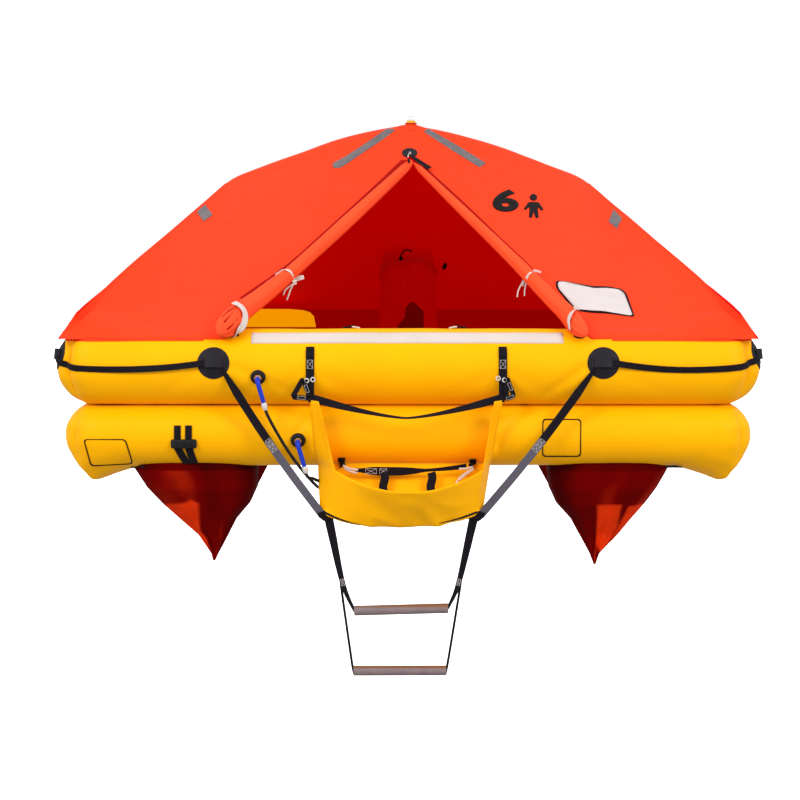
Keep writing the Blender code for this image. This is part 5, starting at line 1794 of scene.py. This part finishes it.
# White cords that lace the back strap to its tabs
POUCH_CORDS = (
    [(343, 465.5), (349, 468.5), (358, 470)],
    [(344, 468), (350, 471.5), (357, 473)],
    [(473, 467), (467, 468.5), (459, 469)],
    [(474, 469), (467, 472.5), (460, 478), (456, 484)],
    [(472, 470.5), (466, 474.5), (459.5, 480)],
)


# The back strap's tabs on the tube, and its pale ends on the pouch
BACK_TABS = {
    "left": [(341.7, 457.4), (341.5, 461), (342.5, 466.0)],
    "right": [(472.6, 458.8), (472.8, 462), (471.5, 466.5)],
}
POUCH_EDGES = {
    "left": ((0.007, 0.006, 0.002), [(324, 511.8), (335, 517.0), (350, 522.0), (361, 524.6)]),
    "right": ((0.002, 0.006, 0.007), [(439, 523.0), (460, 517.8), (477, 512)]),
}


def back_strap():
    """The strap from the pouch's back to the lower tube, with its stitched boxes, hanging loops and cords."""
    points = []
    for i in range(25):
        t = i / 24
        points.append(Vector((-0.165 + 0.346 * t, -1.066, -0.005 - 0.024 * t * (1 - t) + 0.012 * t * t)))
    widths = [(0.012, 0.027, 0.027, 0.022, 0.01, 0.013, 0.016)[round(i / 4)] for i in range(25)]
    for _ in range(2):
        between = [(a + 2 * b + c) / 4 for a, b, c in zip(widths, widths[1:], widths[2:])]
        widths = [widths[0], *between, widths[-1]]
    strap = ribbon("webbing_back_strap", points, FRONT, widths)
    for name, line in BACK_TABS.items():
        drawn_ribbon("back_tab_" + name, line, ON_LOWER, 0.023, BLACK_WEBBING, 0.003, 0.0026, depth=-1.04)
    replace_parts(strap, "pouch_back_strap")
    for k, (x, width) in enumerate(((-0.116, 0.034), (-0.078, 0.022))):
        stitched_box(f"back_strap_stitches_{k}", Vector((x, -1.0682, -0.0085)), RIGHT, UP, width, 0.016)
    for k, x in enumerate((-0.0755, 0.0715)):
        top = Vector((x, -1.069, -0.012))
        route = [top + Vector((0.003 * sin(i), -0.0015 - 0.006 * i, -0.009 * i)) for i in range(7)]
        ribbon(f"pouch_loop_{k}", route, Vector((0, -1, 0.3)), 0.026)
    for k, line in enumerate(POUCH_CORDS):
        thin_cord(f"pouch_cord_{k}", line, -1.072, 0.005, 0.0036, WHITE_CORD)
    for name, (widths, line) in POUCH_EDGES.items():
        drawn_ribbon("pouch_edge_" + name, line, ON_POUCH, widths, BLACK_WEBBING, 0.0026, 0.0016, depth=-1.13)


back_strap()


# The ladder: its upper part swings on the pouch's corners, its lower part folds at the sewn knuckles

LADDER_Y = -1.12
KNUCKLE_Z = -0.352
RUNG_RADIUS = 0.0155
UPPER_RUNG = ((-0.168, -0.437), (0.123, -0.429))
LOWER_RUNG = ((-0.17, -0.625), (0.117, -0.624))
KNUCKLE_X = (-0.203, 0.155)
# The strap's width where it leaves the pouch, on its way, at the knuckle and at the rung
LADDER_WIDTHS = (0.028, 0.026, 0.017, 0.01, 0.01)


def rung(name, ends, body, replaced):
    """A length of plastic tube, hollow at its ends, with its top marked for a painted highlight."""
    start, end = (Vector((x, LADDER_Y, z)) for x, z in ends)
    length = (end - start).length
    r, wall, soft, bore = RUNG_RADIUS, 0.0024, 0.0006, 0.03
    profile = ((r - wall, bore), (r - wall, 0.0), (r - soft, 0.0), (r, soft), (r, length / 2))
    profile += ((r, length - soft), (r - soft, length), (r - wall, length), (r - wall, length - bore))
    points, faces = turned(profile, 48, (end - start).normalized(), start)
    obj = piece(name, points, faces, RUNG_PLASTIC, "rung_tube", body, sharp=30)
    middle_z = (start.z + end.z) / 2
    heights = [(p.z - middle_z) / r for p in points]
    # Painted highlight: the share of the top of the tube that is painted tan
    painted_top_highlight = obj.data.attributes.new("painted_top_highlight", "FLOAT", "POINT")
    painted_top_highlight.data.foreach_set("value", [clamped((h - 0.45) / 0.25) for h in heights])
    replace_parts(obj, replaced)


def on_ladder(x, z, out=0.0):
    return Vector((x, LADDER_Y - out, z))


def ladder_side(side, name):
    """One side of the ladder: a strap to the upper rung, and a tail from the knuckle to the lower one."""
    out = (-1, 1)[side]
    top_x, knuckle_x = CORNER_X[side], KNUCKLE_X[side]
    rung_x, rung_z = UPPER_RUNG[side]
    knots = [
        on_ladder(top_x, HINGE_Z + 0.0019),
        on_ladder(0.75 * top_x + 0.25 * knuckle_x, 0.75 * HINGE_Z + 0.25 * KNUCKLE_Z),
        on_ladder(knuckle_x, KNUCKLE_Z),
        on_ladder(rung_x + out * 0.003, rung_z + 0.008),
        on_ladder(rung_x - out * 0.004, rung_z - 0.002),
    ]
    points = smooth_route(knots, 0.008)
    rows = [(knot.z, width) for knot, width in zip(knots, LADDER_WIDTHS)]
    widths = [at_height(min(rows[0][0], max(rows[-1][0], p.z)), rows)[0] for p in points]
    normals = [(FRONT + Vector((0.12 * sin(p.z * 60 + side), 0, 0))).normalized() for p in points]
    upper, lower = "ladder_upper", "ladder_lower"
    strap = ribbon("webbing_ladder_" + name, points, normals, widths, thick=0.0025, body=upper)
    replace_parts(strap, "ladder_strap_" + name)
    up = (knots[1] - knots[2]).normalized()
    across = up.cross(FRONT).normalized()
    place = knots[2] + up * 0.004 + FRONT * 0.0018
    stitched_box("ladder_stitches_" + name, place, across, up, 0.009, 0.02, body=upper)
    rung_x, rung_z = LOWER_RUNG[side]
    knots = [on_ladder(knuckle_x + out * 0.005, KNUCKLE_Z - z, -0.003) for z in (-0.004, 0.012)]
    knots.append(on_ladder(rung_x + out * 0.003, rung_z + 0.012))
    knots.append(on_ladder(rung_x - out * 0.003, rung_z - 0.004))
    points = smooth_route(knots, 0.01)
    tail = ribbon("webbing_tail_" + name, points, FRONT, 0.008, thick=0.002, body=lower)
    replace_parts(tail, "ladder_tail_" + name)


def make_ladder():
    rung("ladder_tube_upper", UPPER_RUNG, "ladder_upper", "ladder_rung_upper")
    rung("ladder_tube_lower", LOWER_RUNG, "ladder_lower", "ladder_rung_lower")
    ladder_side(0, "left")
    ladder_side(1, "right")


make_ladder()


# The four ballast pockets under the tube

# Each ring of a pocket as height, inner and outer edge across, and near and far edge back
POCKET_LEFT = (
    (0.01, 0.479, 0.884, 0.74, 1.002), (-0.03, 0.479, 0.86, 0.74, 1.000),
    (-0.075, 0.48, 0.834, 0.742, 0.992), (-0.13, 0.505, 0.786, 0.765, 0.965),
    (-0.18, 0.548, 0.734, 0.795, 0.93), (-0.235, 0.576, 0.672, 0.825, 0.895),
    (-0.295, 0.608, 0.632, 0.85, 0.87), (-0.318, 0.619, 0.626, 0.858, 0.864),
)
POCKET_RIGHT = (
    (0.01, 0.444, 0.834, 0.74, 1.002), (-0.03, 0.444, 0.816, 0.74, 1.000),
    (-0.075, 0.448, 0.792, 0.742, 0.992), (-0.13, 0.473, 0.754, 0.765, 0.965),
    (-0.18, 0.519, 0.716, 0.795, 0.93), (-0.235, 0.549, 0.672, 0.825, 0.895),
    (-0.295, 0.582, 0.614, 0.85, 0.87), (-0.33, 0.595, 0.602, 0.858, 0.864),
)
# Patches of painted light on the pockets' fronts, where light comes through one layer, as outlines in the
# frame
POCKET_PAINTED_LIGHT = {
    "left": (
        [
            (160, 507), (187, 503), (191, 500), (198, 504), (198, 534), (204, 543), (206, 556), (186, 538),
            (168, 524),
        ],
    ),
    "right": (
        [(598, 506), (622, 505), (619, 530), (608, 552), (603, 556), (599, 548)],
        [(629, 507), (655, 506), (640, 514), (620, 539), (613, 546), (622, 526)],
    ),
}
POCKET_COLUMNS = 112


def pocket_plane(u, v):
    """A point of the frame as a distance across and a height, on the upright plane of a pocket's front."""
    place = at_depth(u, v, -0.965)
    return abs(place.x), place.z


def lit_share(x, z, outlines):
    """1 well inside any of the outlines and 0 outside, with a soft edge."""
    best = -1.0
    for loop in outlines:
        inside = False
        near = 1.0
        for (ax, az), (bx, bz) in zip(loop, loop[1:] + loop[:1]):
            if (az > z) != (bz > z) and x < ax + (bx - ax) * (z - az) / (bz - az):
                inside = not inside
            near = min(near, near_line(x, z, (ax, az), (bx, bz))[0])
        best = max(best, near if inside else -near)
    return clamped(0.5 + best / 0.012)


def make_pocket(name, rings, lit, sx, sy):
    """A water pocket: an open-topped bag sewn to the tube, drawn together to a point by its weight, painted
    with light and shade.
    """
    outlines = [[pocket_plane(u, v) for u, v in loop] for loop in lit]
    bottom = rings[-1][0]
    sections, painted_light_and_shade = [], []
    rows = 62
    for i in range(rows + 1):
        z = rings[0][0] + (bottom - rings[0][0]) * i / rows
        t = i / rows
        x_low, x_high, y_low, y_high = at_height(z, rings)
        mid_x, mid_y = (x_low + x_high) / 2, (y_low + y_high) / 2
        half_x, half_y = (x_high - x_low) / 2, (y_high - y_low) / 2
        pleats = min(1.0, t * 1.6) * min(1.0, (1 - t) * 6)
        ring = []
        for k in range(POCKET_COLUMNS):
            a = 2 * pi * k / POCKET_COLUMNS
            squareness = 4.0 - 2.0 * t
            spread = (abs(cos(a)) ** squareness + abs(sin(a)) ** squareness) ** (-1 / squareness)
            ux, uy = cos(a) * spread, sin(a) * spread
            fold = 0.5 * sin(5 * a + 1.3 * sx + 2.5 * t) + 0.35 * sin(9 * a - 2.0 * t + sy)
            fold += 0.6 * noise.noise(Vector((cos(a) * 2.2, sin(a) * 2.2, z * 9 + sx)))
            depth = -0.01 * pleats * abs(fold)
            push = 1 + depth / max(0.02, min(half_x, half_y))
            x = mid_x + half_x * ux * (1 + (push - 1) * 0.45)
            y = mid_y + half_y * uy * push
            ring.append(Vector((sx * x, sy * y, z)))
            # Painted light and shade: light where it comes through one layer on the front, shade on the inner
            # side towards the top, in a band just under the tube, and along the folds
            front = max(0.0, uy)
            through = lit_share(x, z, outlines) * min(1.0, front * 4)
            side = 0.4 * max(0.0, -ux) * (1 - t) * (1 - through)
            painted_light_and_shade.append(0.5 + 0.16 * fold + side + 0.22 * (t < 0.08) - through * (0.62 + 0.1 * fold))
        sections.append(ring)
    shape = loft(sections, caps=False)
    obj = piece("pocket_cloth_" + name, *shape, POCKET_CLOTH, "pocket_fabric", sharp=50)
    attribute = obj.data.attributes.new("painted_light_and_shade", "FLOAT", "POINT")
    attribute.data.foreach_set("value", [clamped(value) for value in painted_light_and_shade])
    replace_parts(obj, "ballast_pocket_" + name)
    thickened(obj, 0.001, -1.0)


for pocket_name, (pocket_sx, pocket_sy) in CORNERS.items():
    if pocket_sx < 0:
        make_pocket(pocket_name, POCKET_LEFT, POCKET_PAINTED_LIGHT["left"], pocket_sx, pocket_sy)
    else:
        make_pocket(pocket_name, POCKET_RIGHT, POCKET_PAINTED_LIGHT["right"], pocket_sx, pocket_sy)


# Inside and below: the gas cylinder, the floor, the rear sleeve, and the lamp on the crest


def gas_cylinder():
    """A small steel gas bottle under the floor, with a necked valve end and two cradle straps."""
    start = Vector((CYLINDER_X[0], CYLINDER_Y, CYLINDER_Z))
    length = CYLINDER_X[1] - CYLINDER_X[0]
    r, dome = CYLINDER_RADIUS, 0.045
    profile = [(0.012, 0.0), (0.028, 0.0), (0.03, 0.0015), (0.032, 0.003), (0.04, 0.0045), (0.046, 0.009)]
    profile += [(0.0505, 0.02), (r, 0.032), (r, 0.1), (r, 0.25), (r, length - dome)]
    bend = [radians(a) for a in (15, 30, 45, 60, 75, 86)]
    profile += [(r * cos(a), length - dome + dome * sin(a)) for a in bend]
    shape = turned(profile, 64, RIGHT, start)
    bottle = piece("steel_gas_bottle", *shape, CYLINDER_PAINT, "cylinder_paint", sharp=35)
    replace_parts(bottle, "gas_cylinder")
    for k, x in enumerate((-0.12, 0.11)):
        middle = Vector((x, CYLINDER_Y, CYLINDER_Z))
        angles = [2 * pi * i / 64 for i in range(65)]
        turn = [middle + (r + 0.0006) * Vector((0, cos(a), sin(a))) for a in angles]
        ways = [(p - middle).normalized() for p in turn]
        ribbon(f"cradle_strap_{k}", turn, ways, 0.03, thick=0.001)


FLOOR_HALF = (0.8796, 0.8576)
FLOOR_Z = (0.03, 0.1)


def floor_pad():
    """The inflated floor: two sheets held together by rows of tufts, so that both faces are quilted."""
    columns, rows = 88, 86
    quilts = []
    for sign, level in ((1, FLOOR_Z[1]), (-1, FLOOR_Z[0])):
        sheet = []
        for j in range(rows + 1):
            row = []
            for i in range(columns + 1):
                x = FLOOR_HALF[0] * (2 * i / columns - 1)
                y = FLOOR_HALF[1] * (2 * j / rows - 1)
                edge = min(FLOOR_HALF[0] - abs(x), FLOOR_HALF[1] - abs(y))
                tuft = 0.011 * (1 - abs(sin(pi * x / 0.11) * sin(pi * y / 0.11)) ** 0.5)
                roll = 0.02 * max(0.0, 1 - edge / 0.03) ** 2
                row.append(Vector((x, y, level - sign * (tuft + roll))))
            sheet.append(row)
        quilts.append(sheet)
    top, bottom = quilts
    points, faces = joined(grid(top), grid(bottom))
    shift = (rows + 1) * (columns + 1)
    rim = list(range(columns + 1))
    rim += [(j + 1) * (columns + 1) - 1 for j in range(1, rows + 1)]
    rim += [rows * (columns + 1) + i for i in range(columns - 1, -1, -1)]
    rim += [j * (columns + 1) for j in range(rows - 1, 0, -1)]
    for a, b in zip(rim, rim[1:] + rim[:1]):
        faces.append((a, b, b + shift, a + shift))
    pad = piece("quilted_floor", points, faces, POUCH_CLOTH, "tube_fabric", sharp=60)
    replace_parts(pad, "floor")


# The sleeve's foot, and its half width, half depth and middle in Y on its way down to it from the canopy
SLEEVE_FOOT_Z = 0.3
SLEEVE_RINGS = ((0.6, 0.106, 0.05, 0.65), (0.52, 0.104, 0.044, 0.64))
SLEEVE_RINGS += ((SLEEVE_FOOT_Z, 0.112, 0.036, 0.63),)


def rear_sleeve():
    """The access sleeve at the rear, hanging inside the cabin in soft folds, its slit a painted patch of
    shade and its top a painted band of shade.
    """
    columns, rows = 96, 44
    top_z = laid_on(cad_surface("canopy"), Vector((0, 0.66, 0.5)), UP, 0.004).z
    rings = ((top_z, 0.092, 0.055, 0.66), *SLEEVE_RINGS)
    sections = []
    for i in range(rows + 1):
        z = top_z + (SLEEVE_FOOT_Z - top_z) * i / rows
        half_x, half_y, mid_y = at_height(z, rings)
        down = i / rows
        ring = []
        for j in range(columns + 1):
            a = -pi / 2 + 2 * pi * j / columns
            fold = 0.55 * sin(4 * a + 0.6) + 0.35 * sin(7 * a + 2 * down)
            fold += 0.4 * noise.noise(Vector((cos(a) * 2, sin(a) * 2, z * 5)))
            crease = exp(-(((a + 2.05 - 0.3 * down) / 0.16) ** 2))
            out = 0.007 * fold * min(1.0, down * 3) - 0.02 * crease * sin(pi * min(1.0, down * 1.1))
            ring.append(Vector((0.004 + (half_x + out * 0.5) * cos(a), mid_y + (half_y + out) * sin(a), z)))
        sections.append(ring)
    points, faces = grid(sections)
    obj = piece("sleeve_cloth", points, faces, SLEEVE_CLOTH, "canopy_fabric", sharp=60, facing=(0, 0, 0.001))
    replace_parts(obj, "rear_sleeve")
    thickened(obj, 0.0016, 0.0)
    # Painted shade: the slit is a dark patch laid on the sleeve, not cut through
    slit = [(404.8, 318), (406.0, 307), (411, 302.2), (414, 302.6), (418.5, 306.5), (423.4, 311.5)]
    slit = rounded_loop([*slit, (423.4, 330), (396, 330), (400, 323)], 1.5)
    decal("sleeve_slit_shade", [slit], surface_of(points, faces, False), SLIT_SHADE_CLOTH, lift=0.002)
    # Painted shade: a dark red band along the sleeve's gathered top
    crown = [(379.5, 279), (383.2, 268), (391.6, 261.5), (414.7, 260), (430.2, 264.5), (437.9, 274.3)]
    front_strip("sleeve_top_shade_band", crown, 0.592, 0.013, SHADED_TUBE_CLOTH, slot="canopy_fabric")
    for name, line, size in (
        ("black", [(400.4, 257.5), (402.0, 253.2), (406.3, 249.7), (412, 251.8)], 0.003),
        ("toggle", [(443.6, 266.5), (445.2, 263.0), (446.5, 266.8)], 0.0036),
    ):
        end = thin_cord("inner_cord_" + name, line, 0.55, 0.006, size, BLACK_CORD)[0]
        drop = tube_mesh([end, end + Vector((0.004, -0.004, -0.008))], 0.0075, 12)
        piece("inner_knot_" + name, *drop, BLACK_CORD, "webbing")


def crest_lamp():
    """The small clear lamp on the canopy's crest, on a yellow base, over a dark stitched edge."""
    seat = Vector((0.013, 0.0, 1.119 + GAP))
    base = ((0.0165, 0.0), (0.0165, 0.006), (0.015, 0.0095), (0.012, 0.0105), (0.009, 0.0106))
    made = piece("lamp_base", *turned(base, 40, UP, seat), YELLOW_PLASTIC, "lamp_lens", sharp=35)
    dome = [(0.0105, 0.0108)]
    dome += [(0.011 * cos(radians(a)), 0.015 + 0.0105 * sin(radians(a))) for a in (0, 20, 40, 60, 75, 87)]
    lens = piece("lamp_dome", *turned(dome, 40, UP, seat), LENS_PLASTIC, "lamp_lens", sharp=35)
    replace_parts(lens, "canopy_lamp")
    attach(made, ROOT)
    rings = []
    for r in (0.0165, 0.022, 0.028, 0.034, 0.04, 0.046):
        blend = (1 - r / 0.048) ** 1.3 if r > 0.0165 else 1.0
        ring = []
        for k in range(48):
            point = seat + r * Vector((cos(2 * pi * k / 48), sin(2 * pi * k / 48), 0))
            below = laid_on(ON_CANOPY, Vector((point.x, point.y, 1.05)), -UP, 0.0006).z
            ring.append(Vector((point.x, point.y, below + (seat.z - 0.0008 - below) * blend)))
        rings.append(ring)
    piece("crest_patch", *loft(rings, caps=False), CANOPY_CLOTH, "canopy_fabric", sharp=60, facing=(0, 0, 1))
    ring_piece("lamp_edge", seat, UP, 0.02, 0.0016, FOLD_SHADE_AND_EDGE_CLOTH, "canopy_fabric")


def tube_keepers():
    """Short black patches under the lower tube, where the pocket hems are tied."""
    for name, low, high in (("left", 131, 144), ("right", 666, 682)):
        line = [(low, 466.6), ((low + high) / 2, 466.4), (high, 466.6)]
        drawn_ribbon("keeper_" + name, line, ON_LOWER, 0.008, BLACK_WEBBING, 0.003, 0.0025, depth=-1.0)


gas_cylinder()
floor_pad()
rear_sleeve()
crest_lamp()
tube_keepers()


# Studio: a wide pale floor far below, since the raft hangs in the air, and soft lights


# The floor's height, far below the raft, and the edges of its rings
STUDIO_FLOOR_Z = -1.95
STUDIO_RINGS = (0.5, 6, 60)


def studio_floor():
    """A wide pale floor with the faint mottle of painted concrete."""
    white = {"Emission_Color": hex_colour("#FFFFFF"), "Emission_Strength": 1.0}
    material, tree, shader, place = new_material("pale_painted_floor", Roughness=0.9, **white)
    fill(tree, shader, {"Base Color": patchy(tree, place, 1.5, 1.0, hex_colour("#FAFAFA"), "#F6F6F6")})
    turns = [2 * pi * k / 96 for k in range(96)]
    rings = [[Vector((r * cos(a), r * sin(a), STUDIO_FLOOR_Z)) for a in turns] for r in STUDIO_RINGS]
    points, faces = loft(rings, caps=False)
    faces.append(tuple(range(96)))
    mesh = bpy.data.meshes.new("studio_floor")
    mesh.from_pydata(points, [], faces)
    mesh.materials.append(material)
    floor = bpy.data.objects.new("studio_floor", mesh)
    bpy.context.scene.collection.objects.link(floor)
    floor.visible_diffuse = False
    floor.visible_glossy = False
    floor.visible_shadow = False


def soft_light(name, place, target, size, power):
    data = bpy.data.lights.new(name, "AREA")
    data.shape = "DISK"
    data.size = size
    data.energy = power
    light = bpy.data.objects.new(name, data)
    light.location = place
    light.rotation_euler = (Vector(target) - Vector(place)).to_track_quat("-Z", "Y").to_euler()
    bpy.context.scene.collection.objects.link(light)


def studio():
    studio_floor()
    sky = bpy.data.worlds.new("studio")
    sky.use_nodes = True
    background = sky.node_tree.nodes["Background"]
    height = node(sky.node_tree, "SeparateXYZ", {0: node(sky.node_tree, "TexCoord").outputs["Generated"]})
    fall = {"Value": height.outputs["Z"], "From Min": -0.35, "From Max": -0.06, "To Min": 0.5, "To Max": 1.0}
    strength = node(sky.node_tree, "MapRange", fall).outputs["Result"]
    fill(sky.node_tree, background, {"Color": hex_colour("#FFFFFF"), "Strength": strength})
    scene = bpy.context.scene
    scene.world = sky
    scene.view_settings.view_transform = "Standard"
    soft_light("key_left", (-4.5, -6.0, 4.2), (0, -0.4, 0.2), 3.0, 250)
    soft_light("key_right", (4.8, -6.0, 3.8), (0, -0.4, 0.2), 3.0, 230)


studio()
